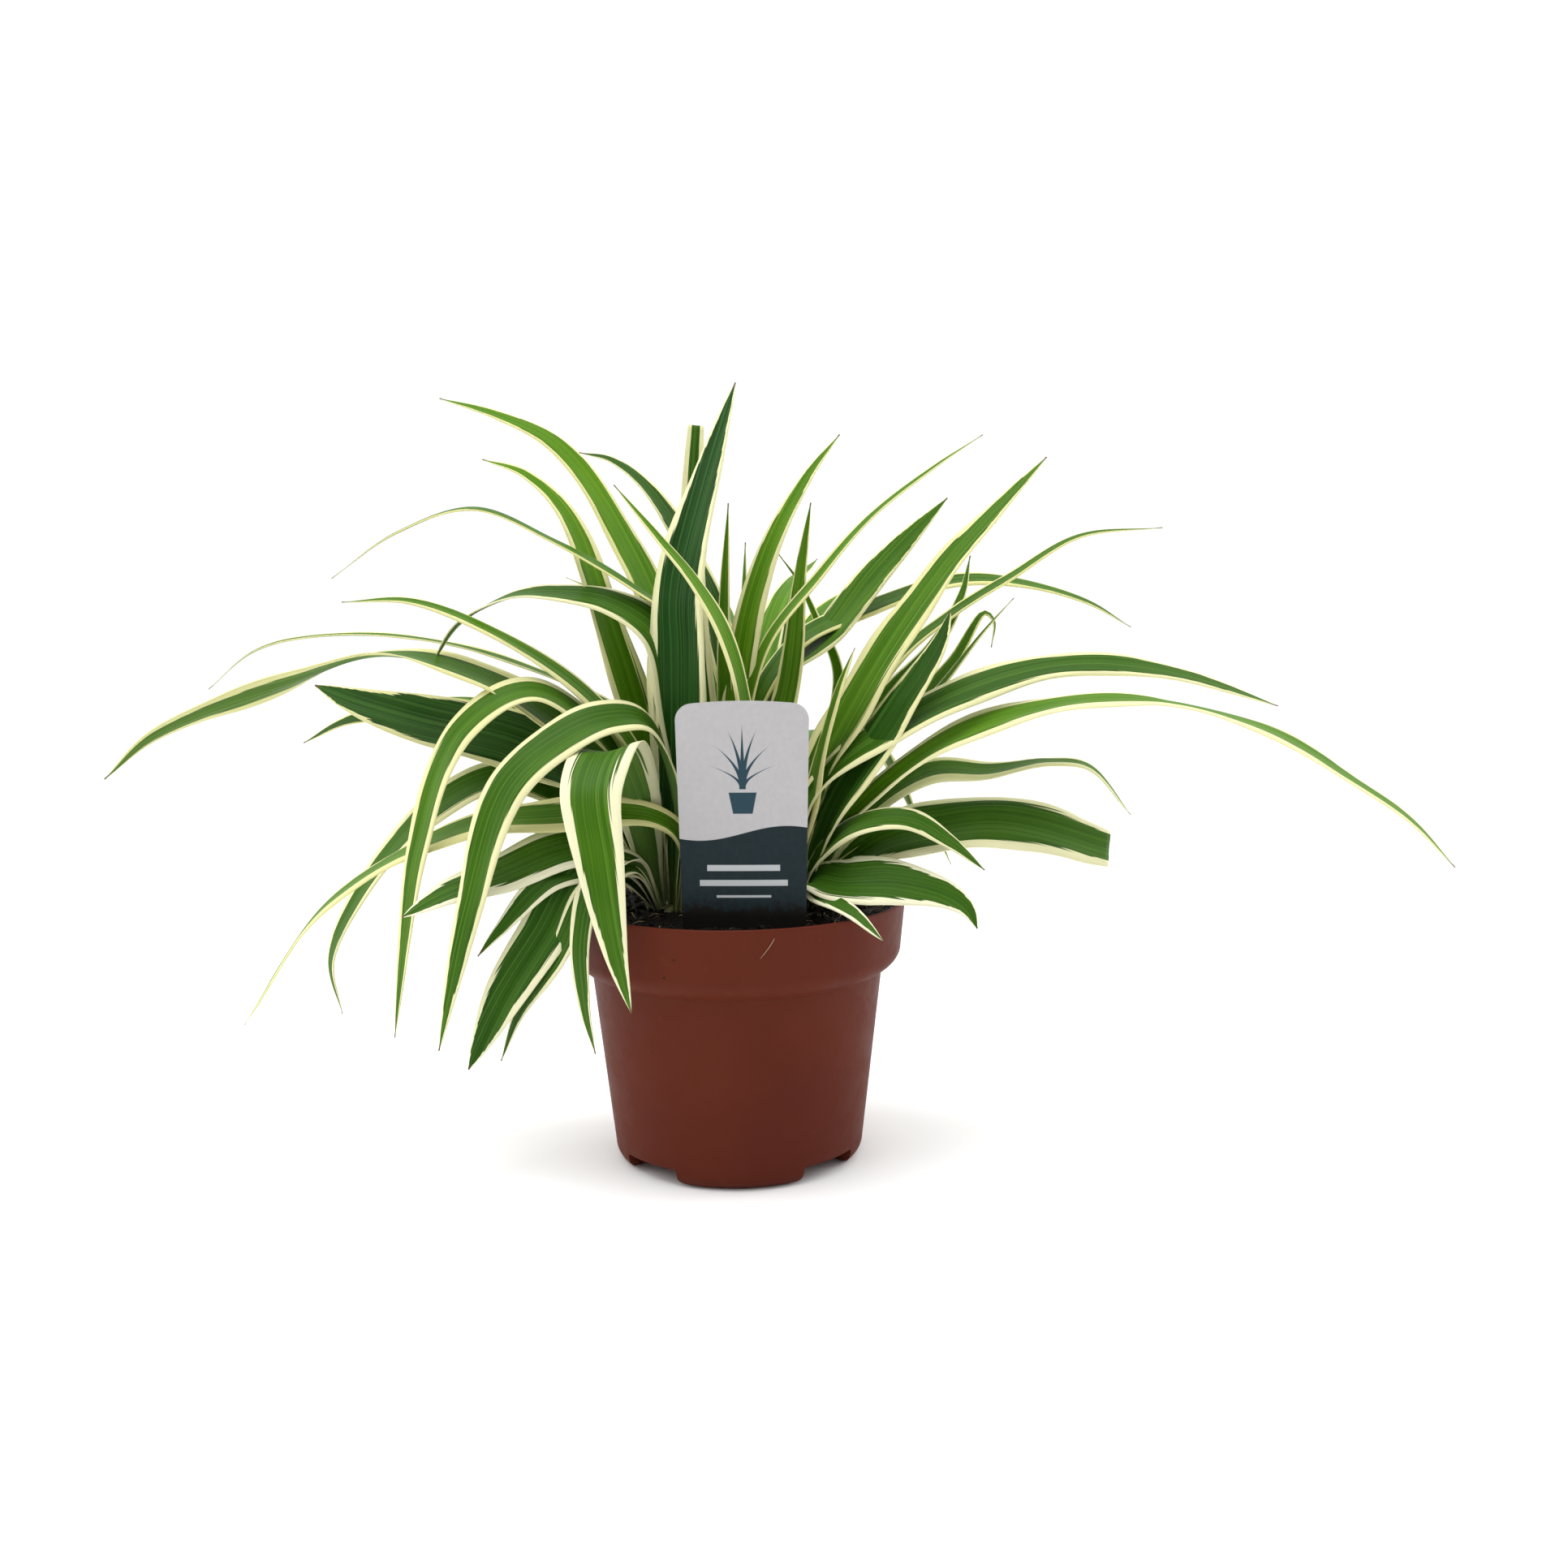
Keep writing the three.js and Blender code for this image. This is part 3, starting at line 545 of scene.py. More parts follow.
def soil_material(name="peat", dark="080605", light="1c130e"):
    """Moist near-black peat with brown crumbs."""
    recipe = Recipe(name)
    place = recipe.place()
    crumbs = recipe.noise(place, 420.0, 5.0, 0.7)
    fibre = recipe.noise(place, 1300.0, 2.0)
    colour = recipe.mix(recipe.span(crumbs, 0.35, 0.75), dark, light)
    colour = recipe.mix(recipe.span(fibre, 0.68, 0.76, 0.0, 0.6), colour, "4a3826")
    recipe.finish(
        Base_Color=colour, Roughness=recipe.span(crumbs, 0.3, 0.7, 0.6, 0.95), Specular_IOR_Level=0.15,
        Normal=recipe.bump(recipe.plus(crumbs, recipe.times(fibre, 0.3)), 0.0012, 0.9),
    )
    return recipe.material


def fibre_material():
    recipe = Recipe("dry_fibre")
    tone = recipe.noise(recipe.place(), 260.0, 2.0)
    recipe.finish(Base_Color=recipe.mix(tone, "6b4f36", "b9a07c"), Roughness=0.8)
    return recipe.material


def perlite_material():
    recipe = Recipe("perlite")
    tone = recipe.noise(recipe.place(), 900.0, 3.0)
    recipe.finish(
        Base_Color=recipe.mix(tone, "9a8462", "d8c9a8"), Roughness=0.9,
        Normal=recipe.bump(tone, 0.0005, 0.7),
    )
    return recipe.material


def stock_material():
    """Blanched leaf bases stained by the soil."""
    recipe = Recipe("leaf_base")
    place = recipe.place()
    tone = recipe.noise(place, 150.0, 3.0)
    recipe.finish(
        Base_Color=recipe.mix(recipe.span(tone, 0.35, 0.65), "b9bb7c", "5c5a30"), Roughness=0.55,
        Normal=recipe.bump(tone, 0.0008, 0.6),
    )
    return recipe.material


def inside(recipe, distance, half_width):
    """1 where a distance is under a half width in millimetres, with a soft edge."""
    return recipe.span(recipe.minus(half_width, distance), -0.1, 0.1)


def pictogram(recipe, x, z):
    """A plain picture of a potted plant, drawn from the card's own x and z."""
    aside = recipe.calc("ABSOLUTE", x)
    up = recipe.minus(z, PRINT["ground"])
    drawn = 0.0
    for spread, height, width in PRINT["blades"]:
        share = recipe.times(up, 1 / height)
        rib = recipe.times(recipe.times(share, share), spread)
        half = recipe.times(recipe.minus(1.0, share), width)
        off = recipe.calc("ABSOLUTE", recipe.minus(aside, rib))
        blade = recipe.times(inside(recipe, off, half), recipe.span(share, 0.0, 0.02))
        drawn = recipe.calc("MAXIMUM", drawn, blade)
    depth = recipe.minus(-1.0, up)
    half = recipe.minus(PRINT["pot_half"], recipe.times(depth, 0.2))
    middle = recipe.calc("ABSOLUTE", recipe.minus(depth, PRINT["pot_height"] / 2))
    pot = recipe.times(inside(recipe, aside, half), inside(recipe, middle, PRINT["pot_height"] / 2))
    return recipe.calc("MAXIMUM", drawn, pot)


def bars(recipe, x, z):
    """Plain pale bars across the lower half of the card."""
    aside = recipe.calc("ABSOLUTE", x)
    drawn = 0.0
    for height, half_length, half_width in PRINT["bars"]:
        off = recipe.calc("ABSOLUTE", recipe.minus(z, height))
        bar = recipe.times(inside(recipe, aside, half_length), inside(recipe, off, half_width))
        drawn = recipe.calc("MAXIMUM", drawn, bar)
    return drawn


def card_face_material():
    """The printed face of the plant label."""
    recipe = Recipe("printed_card")
    x, z, front = recipe.values("card_place")
    paper = recipe.noise(recipe.place(), 500.0, 3.0)
    light = recipe.mix(recipe.span(paper, 0.3, 0.7), "b8b6b7", "b4b2b3")
    dark = recipe.mix(recipe.span(paper, 0.3, 0.7), "17272c", "142328")
    light = recipe.mix(recipe.times(pictogram(recipe, x, z), front), light, "27414c")
    rise = recipe.times(recipe.calc("SINE", recipe.times(x, PRINT["wave_turn"])), PRINT["wave_rise"])
    below = recipe.span(recipe.minus(recipe.plus(rise, PRINT["wave_height"]), z), -0.12, 0.12)
    dark = recipe.mix(bars(recipe, x, z), dark, "b9bdbe")
    printed = recipe.mix(recipe.times(below, front), light, dark)
    # soil clings to the foot of the card
    dirt = recipe.noise(recipe.place(), 330.0, 4.0, 0.65)
    height = recipe.plus(z, recipe.times(recipe.minus(dirt, 0.5), 13.0))
    printed = recipe.mix(recipe.span(height, 95.0, 99.0, 0.95, 0.0), printed, "120c09")
    recipe.finish(
        Base_Color=printed, Roughness=recipe.span(paper, 0.3, 0.7, 0.45, 0.52), Specular_IOR_Level=0.2,
        Normal=recipe.bump(paper, 0.0001, 0.3),
    )
    return recipe.material


def floor_material():
    recipe = Recipe("pale_floor")
    tone = recipe.noise(recipe.place(), 6.0, 2.0)
    recipe.finish(Base_Color=recipe.mix(tone, "fafafa", "ffffff"), Roughness=0.9)
    return recipe.material


# ---- pot -----------------------------------------------------------------------------------------


def wall_radius(height):
    return blend_values(POT["base_radius"], POT["neck_radius"], height / POT["neck_height"])


def rim_radius(height):
    share = (height - POT["rim_foot_height"]) / (POT["height"] - POT["rim_foot_height"])
    return blend_values(POT["rim_foot_radius"], POT["rim_radius"], share)


def rim_curve(inset, steps):
    """[radius, height] points from the wall out to the rim band, moved into the pot by "inset"."""
    first = (POT["neck_radius"], POT["neck_height"])
    turn = (POT["rim_foot_radius"], POT["rim_underside"])
    last = (POT["rim_foot_radius"], POT["rim_foot_height"])
    points = []
    for t in np.linspace(0, 1, steps + 1):
        shares = ((1 - t) ** 2, 2 * t * (1 - t), t ** 2)
        radius, height = (sum(s * p[k] for s, p in zip(shares, (first, turn, last))) for k in (0, 1))
        points.append((radius - inset, height + inset))
    return points


CORNER_MIDDLE = wall_radius(POT["corner_radius"]) - POT["corner_radius"]
AXIS = 0.01  # radius that stands for the axis where a profile closes


def inner_face(inset, steps):
    """Profile of the inside, from the rim down to the middle of the floor."""
    floor_top = POT["foot_height"] + POT["floor"] + inset
    corner = POT["corner_radius"]
    top_of_corner = floor_top + corner
    radius = wall_radius(top_of_corner) - POT["wall"] - inset
    return [
        *rim_curve(POT["wall"] + inset, steps)[::-1],
        (radius, top_of_corner),
        *arc(radius - corner, top_of_corner, corner, 0, -90, steps)[1:],
        (AXIS, floor_top),
    ]


def foot_opening(angle):
    """Cutter for the opening between two feet, as an outline pushed through the foot ring."""
    half = POT["foot_gap"] / 2
    top = POT["foot_height"]
    fillet = POT["foot_fillet"]
    corner = POT["foot_corner"]
    side = [(half + corner, -1), (half + corner, 0)]
    for t in np.linspace(0.15, 1, 7):
        side.append((half + corner * (1 - t) ** 2, corner * t ** 2))
    for t in np.linspace(0, 1, 7):
        side.append((half - fillet * t ** 2, top - fillet * (1 - t) ** 2))
    outline = side + [(-x, z) for x, z in side[::-1]]
    count = len(outline)
    inner = POT["foot_inner_radius"] - 8
    outer = POT["base_radius"] + 8
    corners = [(x, y, z) for y in (inner, outer) for x, z in outline]
    faces = [tuple(range(count)), tuple(range(2 * count - 1, count - 1, -1))]
    for i in range(count):
        after = (i + 1) % count
        faces.append((after, i, count + i, count + after))
    cutter = make_object("cutter", corners, faces, [], smooth=False)
    face_outwards(cutter)
    cutter.rotation_euler = (0, 0, angle)
    return cutter


def drain_cutter(angle):
    top = POT["foot_height"] + POT["floor"] + 2
    radius = POT["drain_radius"]
    profile = [(AXIS, POT["foot_height"] - 2), (radius, POT["foot_height"] - 2), (radius, top), (AXIS, top)]
    cutter = turned_object("cutter", profile, 32, [])
    cutter.location = (
        POT["drain_ring"] * math.cos(angle) * MM, POT["drain_ring"] * math.sin(angle) * MM, 0,
    )
    return cutter


def bake_modifiers(target):
    """Replace a mesh by what its modifiers make of it."""
    bpy.context.view_layer.update()
    graph = bpy.context.evaluated_depsgraph_get()
    done = bpy.data.meshes.new_from_object(target.evaluated_get(graph))
    target.modifiers.clear()
    target.data = done


def build_pot(material):
    lip = POT["lip_radius"]
    corner = POT["corner_radius"]
    foot = POT["foot_inner_radius"]
    profile = [
        (AXIS, POT["foot_height"]),
        (foot, POT["foot_height"]),
        (foot, 0.5),
        *arc(foot + 0.5, 0.5, 0.5, 180, 270, 4)[1:],
        *arc(CORNER_MIDDLE, corner, corner, -90, 0, 16),
        *[(wall_radius(z), z) for z in (10, 30, 50)],
        *rim_curve(0, 18),
        *[(rim_radius(z), z) for z in (77, 84, 91)],
        *arc(POT["rim_radius"] - lip, POT["height"] - lip, lip, 0, 180, 10),
        *inner_face(0, 10),
    ]
    pot = turned_object("nursery_pot", profile, 192, [material])
    quarter = [(i + 0.5) * math.pi / 2 for i in range(POT["foot_count"])]
    cutters = [foot_opening(angle - math.pi / 2) for angle in quarter]
    cutters += [drain_cutter(angle) for angle in quarter]
    for cutter in cutters:
        cut = pot.modifiers.new("cut", "BOOLEAN")
        cut.operation = "DIFFERENCE"
        cut.solver = "EXACT"
        cut.object = cutter
    bevel = pot.modifiers.new("soft_edges", "BEVEL")
    bevel.width = 0.25 * MM
    bevel.segments = 2
    bevel.limit_method = "ANGLE"
    bevel.angle_limit = math.radians(50)
    bake_modifiers(pot)
    for cutter in cutters:
        bpy.data.objects.remove(cutter)
    pot.data.shade_smooth()
    pot.data.set_sharp_from_angle(angle=math.radians(40))
    return stands_for(pot, "pot_plastic", "pot")


# ---- soil ----------------------------------------------------------------------------------------


def soil_height(x, y):
    """The low mound of the solid's surface with finer clods."""
    share = math.hypot(x, y) / POT["rim_radius"]
    height = SOIL["level"] + SOIL["mound"] * (1 - share * share)
    height += sum(size * math.sin(ax * x + ay * y) for ax, ay, size in SOIL_WAVES)
    place = Vector((x, y, 0))
    clods = noise.fractal(place * 0.16, 0.7, 2.1, 4)
    grit = noise.fractal(place * 0.75, 0.6, 2.2, 3)
    return height + 0.9 * clods + 0.45 * grit


def build_soil(material):
    rings = 74
    sides = 240
    edge = rim_radius(SOIL["level"]) - POT["wall"] - SOIL["clearance"]
    profile = inner_face(SOIL["clearance"], 8)[::-1]
    corners = []
    angles = np.arange(sides) * 2 * math.pi / sides
    for radius, height in profile:
        corners += [(radius * math.cos(a), radius * math.sin(a), height) for a in angles]
    for i in range(rings):
        radius = max(edge * (1 - i / (rings - 1)), AXIS)
        for a in angles:
            x = radius * math.cos(a)
            y = radius * math.sin(a)
            corners.append((x, y, soil_height(x, y)))
    faces = turned_faces(len(profile) + rings, sides)
    last = len(corners) - sides
    faces.append(tuple(range(sides))[::-1])
    faces.append(tuple(range(last, last + sides)))
    soil = make_object("soil_bed", corners, faces, [material])
    face_outwards(soil)
    return stands_for(soil, "soil", "soil")


def small_bodies(name, work, material):
    """The piece that a mesh in the making becomes."""
    mesh = bpy.data.meshes.new(name)
    work.to_mesh(mesh)
    work.free()
    mesh.materials.append(material)
    mesh.shade_smooth()
    bodies = bpy.data.objects.new(name, mesh)
    bpy.context.scene.collection.objects.link(bodies)
    return stands_for(bodies, "soil")


def scattered_lumps(name, rng, count, sizes, material, where):
    """Many small uneven lumps in one piece. "where" gives the middle of each."""
    work = bmesh.new()
    for _ in range(count):
        size = rng.uniform(*sizes)
        made = bmesh.ops.create_icosphere(work, subdivisions=2, radius=size / 2)
        stretch = Vector((rng.uniform(0.6, 1.5), rng.uniform(0.6, 1.3), rng.uniform(0.5, 0.9)))
        turn = Matrix.Rotation(rng.uniform(0, math.tau), 4, Vector((rng.random(), rng.random(), 1)))
        middle = where(rng, size)
        shift = rng.uniform(0, 900)
        for vertex in made["verts"]:
            point = vertex.co.copy()
            x, y, z = (value / size * 2.6 for value in point)
            rough = 1 + 0.45 * wander(x + shift, y, z)
            point = Vector(a * b for a, b in zip(point * rough, stretch))
            vertex.co = (turn @ point + middle) * MM
    return small_bodies(name, work, material)


def on_soil(rng, size):
    """A place on the soil, sunk a little."""
    radius = math.sqrt(rng.random()) * (rim_radius(SOIL["level"]) - POT["wall"] - 2.0)
    angle = rng.uniform(0, math.tau)
    x = radius * math.cos(angle)
    y = radius * math.sin(angle)
    return Vector((x, y, soil_height(x, y) + size * 0.12))


def thread_mesh(work, points, radius, sides=5):
    """Add a thin closed tube along points to a mesh in the making, thinner towards its ends."""
    rings = []
    for i, point in enumerate(points):
        ahead = points[min(i + 1, len(points) - 1)]
        behind = points[max(i - 1, 0)]
        along = (ahead - behind).normalized()
        across = along.orthogonal().normalized()
        other = along.cross(across)
        size = radius * (0.35 + 0.65 * math.sin(math.pi * (i + 0.5) / len(points)))
        ring = []
        for k in range(sides):
            angle = k * math.tau / sides
            offset = across * math.cos(angle) + other * math.sin(angle)
            ring.append(work.verts.new((point + offset * size) * MM))
        rings.append(ring)
    for low, high in zip(rings, rings[1:]):
        for k in range(sides):
            after = (k + 1) % sides
            work.faces.new((low[k], low[after], high[after], high[k]))
    work.faces.new(rings[0][::-1])
    work.faces.new(rings[-1])


def threads_object(name, paths, material):
    work = bmesh.new()
    for points, radius in paths:
        thread_mesh(work, points, radius)
    bmesh.ops.recalc_face_normals(work, faces=work.faces)
    return small_bodies(name, work, material)


def build_fibres(material):
    """Fine root hairs and coir that lie on the soil."""
    rng = random.Random(31)
    paths = []
    for _ in range(90):
        start = on_soil(rng, 0)
        heading = rng.uniform(0, math.tau)
        bend = rng.uniform(-0.5, 0.5)
        length = rng.uniform(3, 11)
        points = []
        x, y = start.x, start.y
        for i in range(9):
            lift = 0.25 + 0.8 * rng.random() * math.sin(math.pi * i / 8)
            if math.hypot(x, y) > 55:
                break
            points.append(Vector((x, y, soil_height(x, y) + lift)))
            heading += bend * 0.5
            x += length / 8 * math.cos(heading)
            y += length / 8 * math.sin(heading)
        if len(points) > 3:
            paths.append((points, rng.uniform(0.09, 0.2)))
    return threads_object("soil_fibres", paths, material)


def build_rim_fibre(material):
    """A fine root hair that clings to the front of the rim band."""
    points = []
    for share in (i / 14 for i in range(15)):
        curl = RIM_FIBRE["curl"] * math.sin(2.6 * share)
        x = RIM_FIBRE["x"] - RIM_FIBRE["aside"] * share + curl
        z = RIM_FIBRE["z"] - RIM_FIBRE["down"] * share ** 1.6
        radius = rim_radius(z) + RIM_FIBRE["gap"]
        points.append(Vector((x, -math.sqrt(radius ** 2 - x ** 2), z)))
    return threads_object("rim_fibre", [(points, RIM_FIBRE["radius"])], material)


def beside_label(_, size):
    """The one place in front of the label, whatever the draw."""
    return Vector((*FRONT_BIT, soil_height(*FRONT_BIT) + size * 0.2))


# ---- label ---------------------------------------------------------------------------------------


def card_half_width(height):
    if height >= LABEL["shoulder"]:
        share = (height - LABEL["shoulder"]) / (LABEL["top"] - LABEL["shoulder"])
        return blend_values(LABEL["foot_width"], LABEL["width"], share) / 2
    share = (height - LABEL["point_height"]) / (LABEL["shoulder"] - LABEL["point_height"])
    return blend_values(LABEL["point_width"], LABEL["foot_width"], share) / 2


def build_label(material):
    """A thin card with rounded top corners that bows a little, on a pointed foot."""
    columns = 40
    rows = 60
    half = LABEL["width"] / 2
    corner = LABEL["corner_radius"]
    shares = np.sin(np.linspace(-1, 1, columns + 1) * math.pi / 2)
    corners = []
    values = []
    for face in (-1, 1):
        for row in range(rows + 1):
            for share in shares:
                over = max(abs(share) * half - (half - corner), 0)
                arch = 1.4 * (1 - share * share)
                top = LABEL["top"] - 1.4 + arch - corner + math.sqrt(max(corner ** 2 - over ** 2, 0))
                height = blend_values(LABEL["point_height"], top, row / rows)
                x = share * card_half_width(height)
                bow = 0.5 * math.cos(share * math.pi / 2) - 0.25
                corners.append((x, -bow + face * LABEL["thickness"] / 2, height))
                values.append((x, height, 1.0 if face < 0 else 0.0))
    faces = []
    stride = columns + 1
    back = (rows + 1) * stride
    for row in range(rows):
        for column in range(columns):
            a = row * stride + column
            faces.append((a, a + 1, a + stride + 1, a + stride))
            faces.append((back + a, back + a + stride, back + a + stride + 1, back + a + 1))
    rim = [row * stride for row in range(rows + 1)]
    rim += [rows * stride + column for column in range(1, columns + 1)]
    rim += [row * stride + columns for row in range(rows - 1, -1, -1)]
    rim += [column for column in range(columns - 1, 0, -1)]
    for here, after in zip(rim, rim[1:] + rim[:1]):
        faces.append((here, after, back + after, back + here))
    turn = Matrix.Rotation(-math.radians(LABEL["turn"]), 3, "Z")
    shift = Vector((LABEL["x"], LABEL["y"], 0))
    label = make_object("plant_label", [turn @ Vector(c) + shift for c in corners], faces, [material])
    face_outwards(label)
    add_values(label, "card_place", values)
    label.data.set_sharp_from_angle(angle=math.radians(50))
    return stands_for(label, "label_card", "label")


# ---- leaves --------------------------------------------------------------------------------------


def smooth_curve(route, per_span=60):
    """Close points on the centripetal Catmull-Rom curve through a route, with its ends reflected."""
    ends = np.vstack([2 * route[0] - route[1], route, 2 * route[-1] - route[-2]])
    u = np.linspace(0, 1, per_span, endpoint=False)[:, None]
    points = []
    for a, b, c, d in zip(ends, ends[1:], ends[2:], ends[3:]):
        before, here, after = (math.sqrt(np.linalg.norm(q - p)) for p, q in ((a, b), (b, c), (c, d)))
        start = (b - a) / before - (c - a) / (before + here) + (c - b) / here
        end = (c - b) / here - (d - b) / (here + after) + (d - c) / after
        square = 3 * (c - b) - here * (2 * start + end)
        cube = 2 * (b - c) + here * (start + end)
        points.append(b + here * start * u + square * u ** 2 + cube * u ** 3)
    return np.vstack([*points, route[-1]])


def unit(vectors):
    return vectors / np.linalg.norm(vectors, axis=-1, keepdims=True)


def leaf_rib(leaf, crown, steps):
    """Evenly spaced places on a leaf's rib, its length, and its blade's level direction."""
    middle = np.array([*SHOOTS[crown], BLADE["start_height"]])
    route = np.asarray(leaf["route"], float)
    outwards = unit((route[0] - middle) * (1, 1, 0))
    curve = smooth_curve(np.vstack([middle + BLADE["start"] * outwards, route]))
    run = np.append(0, np.cumsum(np.linalg.norm(np.diff(curve, axis=0), axis=1)))
    places = np.linspace(0, run[-1], steps + 1)
    spine = np.stack([np.interp(places, run, curve[:, k]) for k in range(3)], axis=1)
    reach = route[-1] - middle
    return spine, run[-1], unit(np.array([-reach[1], reach[0], 0.0]))


def blade_axes(spine, level, turn):
    """Unit vectors across the blade and out of its upper face, a row for each place on the rib."""
    along = unit(np.gradient(spine, axis=0))
    flat = unit(level - along * (along @ level)[:, None])
    lifted = np.cross(along, flat)
    angle = np.radians(turn)[:, None]
    across = flat * np.cos(angle) + lifted * np.sin(angle)
    return across, np.cross(along, across)


def width_share(t, leaf):
    swell = BLADE["base_width"] + (1 - BLADE["base_width"]) * smooth_step(t / BLADE["full_width_at"])
    if leaf.get("blunt"):
        return swell * (1 - BLADE["blunt_narrowing"] * t ** BLADE["blunt_round"])
    tip_round = BLADE["late_round"] if leaf.get("late") else BLADE["tip_round"]
    return swell * (1 - t ** tip_round) ** BLADE["taper"]


def build_leaf(crown, number, leaf, rng, materials):
    """One blade as a closed thin body, a ring of corners for each place along its rib."""
    rough_length = leaf_rib(leaf, crown, 1)[1]
    steps = FINE["path_steps"] if rough_length > FINE["short_length"] else FINE["short_path_steps"]
    spine, length, level = leaf_rib(leaf, crown, steps)
    t = np.linspace(0, 1, steps + 1)

    seed = rng.uniform(0, 100)
    along_mm = t * length
    wobble = np.array([wander(d / 34, seed) for d in along_mm])
    sway = np.array([wander(d / 70, seed + 20) for d in along_mm])
    turn = np.interp(t, np.linspace(0, 1, len(leaf["turn"])), leaf["turn"])
    across, upper = blade_axes(spine, level, turn + 5 * sway * smooth_step(t / 0.3))
    blunt = leaf.get("blunt", False)
    width = leaf["width"] * width_share(t, leaf) * (1 + FINE["width_noise"] * wobble)
    half = np.maximum(width, FINE["tip_width"]) / 2
    opened = smooth_step(t / BLADE["unfolded_at"])
    fold = np.radians(blend_values(BLADE["base_fold"], BLADE["tip_fold"], opened))

    shares = np.linspace(-1, 1, FINE["columns"] + 1)
    size = np.abs(shares)
    soft = FINE["channel_round"]
    channel = (np.sqrt(size ** 2 + soft ** 2) - soft) / (math.sqrt(1 + soft ** 2) - soft)
    recurve = FINE["recurve"] * rng.uniform(0.2, 1.6) * np.clip((size - 0.5) / 0.5, 0, 1) ** 2
    phases = [rng.uniform(0, math.tau) for _ in range(2)]
    beat = FINE["wave_length"] * rng.uniform(0.8, 1.3)
    wave = [np.sin(math.tau * along_mm / beat + phase) for phase in phases]
    calm = smooth_step(t / 0.25) * smooth_step((1 - t) / 0.15)
    thickness = blend_values(FINE["edge_thickness"], FINE["rib_thickness"], (1 - size) ** 2)

    top = []
    bottom = []
    for column, share in enumerate(shares):
        side_wave = wave[0] if share < 0 else wave[1]
        lift = half * np.sin(fold) * channel[column] - half * recurve[column]
        lift = lift + 2 * half * FINE["wave"] * calm * side_wave * share ** 2
        middle = spine + across * (half * np.cos(fold) * share)[:, None] + upper * lift[:, None]
        thin = thickness[column] / 2 * np.clip(half / 1.2, 0.3, 1)
        top.append(middle + upper * thin[:, None])
        bottom.append(middle - upper * thin[:, None])
    ring = top + bottom[::-1]
    corners = np.stack(ring, axis=1).reshape(-1, 3)
    count = len(ring)
    faces = []
    kinds = []
    for row in range(steps):
        low = row * count
        high = low + count
        for k in range(count):
            after = (k + 1) % count
            faces.append((low + k, high + k, high + after, low + after))
            kinds.append(1 if FINE["columns"] < k < count - 1 else 0)
    last = steps * count
    for k in range(FINE["columns"]):
        faces.append((k, k + 1, count - 2 - k, count - 1 - k))
        faces.append((last + k + 1, last + k, last + count - 1 - k, last + count - 2 - k))
        kinds += [0, 0]
    blade = make_object(f"leaf_{crown}_{number:02d}", corners, faces, materials)
    blade.data.polygons.foreach_set("material_index", kinds)
    face_outwards(blade)

    sides = np.concatenate([shares, shares[::-1]])
    grid_side = np.tile(sides, steps + 1)
    grid_half = np.repeat(half, count)
    grid_t = np.repeat(t, count)
    ones = np.ones_like(grid_t)
    look = LOOKS[crown].get(number, {})
    dry = look.get("dry", 0.0 if blunt else 0.015)
    add_values(blade, "blade_place", np.c_[grid_side * grid_half, grid_t * length, grid_side])
    add_values(blade, "blade_size", np.c_[grid_t, ones * dry, ones * seed])
    margin = look.get("margin", rng.uniform(0.2, 0.34))
    depth = look.get("depth", rng.uniform(0.15, 0.8))
    warmth = look.get("warmth", rng.uniform(0.35, 1.0))
    add_values(blade, "blade_look", np.c_[ones * margin, ones * depth, ones * warmth])
    return stands_for(blade, "leaf", f"rosette_{crown}")


def rear_leaves():
    rows = []
    x, y = SHOOTS["back"]
    for i in range(REAR["count"]):
        heading = blend_values(REAR["first_heading"], REAR["last_heading"], i / (REAR["count"] - 1))
        angle = math.radians(heading)
        chance = (i * REAR["golden"]) % 1
        other_chance = (2 * i * REAR["golden"]) % 1
        reach = REAR["reach"] + REAR["reach_spread"] * chance
        arch = REAR["upright_arch"] if i % 2 else REAR["drooping_arch"]
        turn = REAR["turn"] * (2 * chance - 1)
        route = [
            (x + reach * out * math.cos(angle), y + reach * out * math.sin(angle),
             BLADE["start_height"] + reach * up)
            for out, up in arch
        ]
        width = REAR["width"] + REAR["width_spread"] * other_chance
        rows.append(dict(width=width, turn=[turn, turn], route=route))
    return rows


def build_leaves():
    rng = random.Random(7)
    materials = [leaf_material("leaf_upper", False), leaf_material("leaf_under", True)]
    rows = {crown: list(leaves) for crown, leaves in LEAVES.items()}
    rows["back"] += rear_leaves()
    for crown, leaves in rows.items():
        for number, leaf in enumerate(leaves, 1):
            build_leaf(crown, number, leaf, rng, materials)


def build_stocks():
    """The short root stocks, ridged by the bases of old leaves."""
    material = stock_material()
    for crown, (x, y) in SHOOTS.items():
        sides = 48
        profile = [
            (AXIS, STOCK["bottom"]), (5.0, STOCK["bottom"]), (8.6, 75), (8.9, 82), (8.6, 86),
            (7.4, 89), (5.6, 91), (3.0, STOCK["top"]), (AXIS, STOCK["top"]),
        ]
        stock = turned_object(f"stock_{crown}", profile, sides, [material])
        for vertex in stock.data.vertices:
            angle = math.atan2(vertex.co.y, vertex.co.x)
            ridge = 1 + 0.08 * math.sin(9 * angle + x) + 0.05 * math.sin(17 * angle + y)
            vertex.co.x = vertex.co.x * ridge + x * MM
            vertex.co.y = vertex.co.y * ridge + y * MM
        stands_for(stock, "leaf", f"rosette_{crown}")


# ---- camera and light ----------------------------------------------------------------------------

# Brightness of the room, and the directions between which it turns from front to back and climbs
# to what is overhead.
ROOM = dict(front=0.25, back=1.03, above=1.3, turn=(-0.3, 0.6), climb=(0.1, 0.8))
FLOOR_REACH = 3000
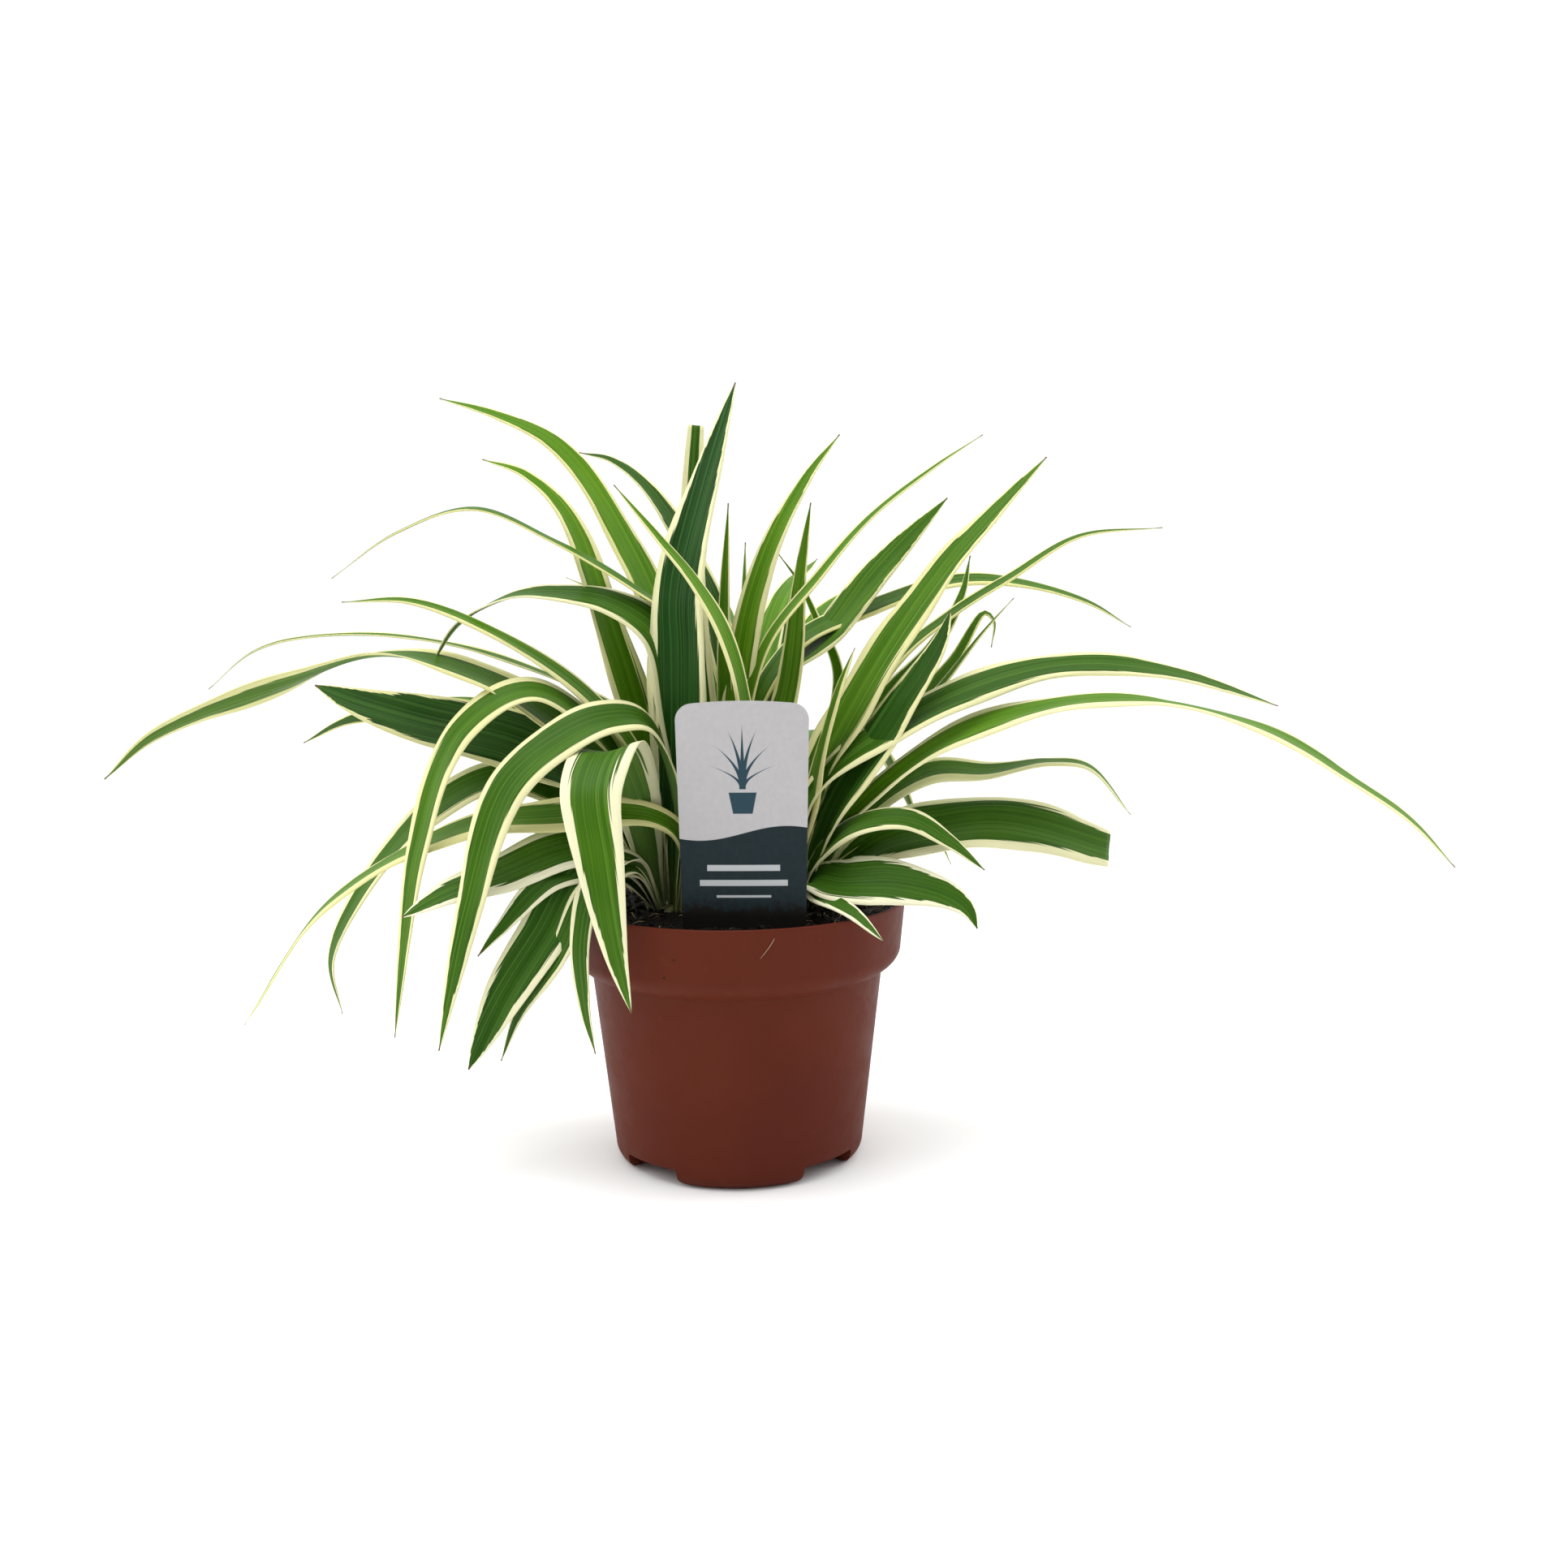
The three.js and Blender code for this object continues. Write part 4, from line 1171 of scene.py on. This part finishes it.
# Each soft light's name, place, what it points at, width, height and power.
SOFTBOXES = [
    ("overhead", (-250, -200, 1000), (0, 0, 120), 600, 600, 4),
    ("left_strip", (-800, 150, 350), (0, 0, 100), 350, 900, 3),
    ("right_strip", (800, 150, 350), (0, 0, 100), 350, 900, 3),
]
CAMERA = dict(place=(0, -550, 200), lens=36, yaw=0.0315, pitch=0.122, roll=-0.0099)


def add_camera():
    """The photograph's view: a square frame, 36 mm wide."""
    yaw, pitch, roll = (CAMERA[key] for key in ("yaw", "pitch", "roll"))
    level = Vector((math.cos(yaw), -math.sin(yaw), 0))
    ahead = Vector((math.sin(yaw), math.cos(yaw), 0))
    up = Vector((0, 0, 1))
    forward = ahead * math.cos(pitch) - up * math.sin(pitch)
    upper = ahead * math.sin(pitch) + up * math.cos(pitch)
    right = level * math.cos(roll) + upper * math.sin(roll)
    top = upper * math.cos(roll) - level * math.sin(roll)
    camera = bpy.data.objects.new("camera", bpy.data.cameras.new("camera"))
    camera.data.lens = CAMERA["lens"]
    camera.data.sensor_width = 36
    camera.data.clip_start = 0.01
    bpy.context.scene.collection.objects.link(camera)
    columns = Matrix((right, top, -forward)).transposed().to_4x4()
    camera.matrix_world = Matrix.Translation(Vector(CAMERA["place"]) * MM) @ columns
    bpy.context.scene.camera = camera


def add_softbox(name, place, target, width, height, power):
    light = bpy.data.lights.new(name, "AREA")
    light.shape = "RECTANGLE"
    light.size = width * MM
    light.size_y = height * MM
    light.energy = power
    box = bpy.data.objects.new(name, light)
    box.location = Vector(place) * MM
    box.rotation_euler = (Vector(target) - Vector(place)).to_track_quat("-Z", "Y").to_euler()
    bpy.context.scene.collection.objects.link(box)


def add_world():
    """A room that is bright above, white behind the plant and dim in front of it."""
    world = bpy.data.worlds.new("studio")
    world.use_nodes = True
    nodes = world.node_tree.nodes
    links = world.node_tree.links
    direction = nodes.new("ShaderNodeTexCoord")
    split = nodes.new("ShaderNodeSeparateXYZ")
    links.new(direction.outputs["Generated"], split.inputs[0])
    steps = []
    for axis, low, high in (("Y", *ROOM["turn"]), ("Z", *ROOM["climb"])):
        step = nodes.new("ShaderNodeMapRange")
        step.interpolation_type = "SMOOTHSTEP"
        step.inputs["From Min"].default_value = low
        step.inputs["From Max"].default_value = high
        links.new(split.outputs[axis], step.inputs["Value"])
        steps.append(step.outputs[0])
    around = nodes.new("ShaderNodeMix")
    around.inputs[2].default_value = ROOM["front"]
    around.inputs[3].default_value = ROOM["back"]
    links.new(steps[0], around.inputs[0])
    whole = nodes.new("ShaderNodeMix")
    whole.inputs[3].default_value = ROOM["above"]
    links.new(steps[1], whole.inputs[0])
    links.new(around.outputs[0], whole.inputs[2])
    links.new(whole.outputs[0], nodes["Background"].inputs["Strength"])
    nodes["Background"].inputs["Color"].default_value = (1, 1, 1, 1)
    bpy.context.scene.world = world


def add_studio():
    """A pale floor, whose edge shows only where the room behind it is dim, and large soft lights."""
    corners = [(FLOOR_REACH * x, FLOOR_REACH * y, 0) for x, y in ((-1, -1), (1, -1), (1, 1), (-1, 1))]
    floor = make_object("floor", corners, [(0, 1, 2, 3)], [floor_material()], smooth=False)
    for box in SOFTBOXES:
        add_softbox(*box)
    add_world()
    bpy.context.scene.view_settings.view_transform = "Standard"


# ---- the whole plant -----------------------------------------------------------------------------

add_camera()
add_studio()
build_pot(pot_material())
build_soil(soil_material())
crumb_material = soil_material("crumbs", "080605", "251a12")
scattered_lumps("soil_crumbs", random.Random(5), 700, (0.6, 2.6), crumb_material, on_soil)
scattered_lumps("perlite_bits", random.Random(12), 9, (1.0, 2.2), perlite_material(), on_soil)
scattered_lumps("perlite_front", random.Random(3), 1, (3.0, 3.0), perlite_material(), beside_label)
dry_fibre = fibre_material()
build_fibres(dry_fibre)
build_rim_fibre(dry_fibre)
build_label(card_face_material())
build_stocks()
build_leaves()
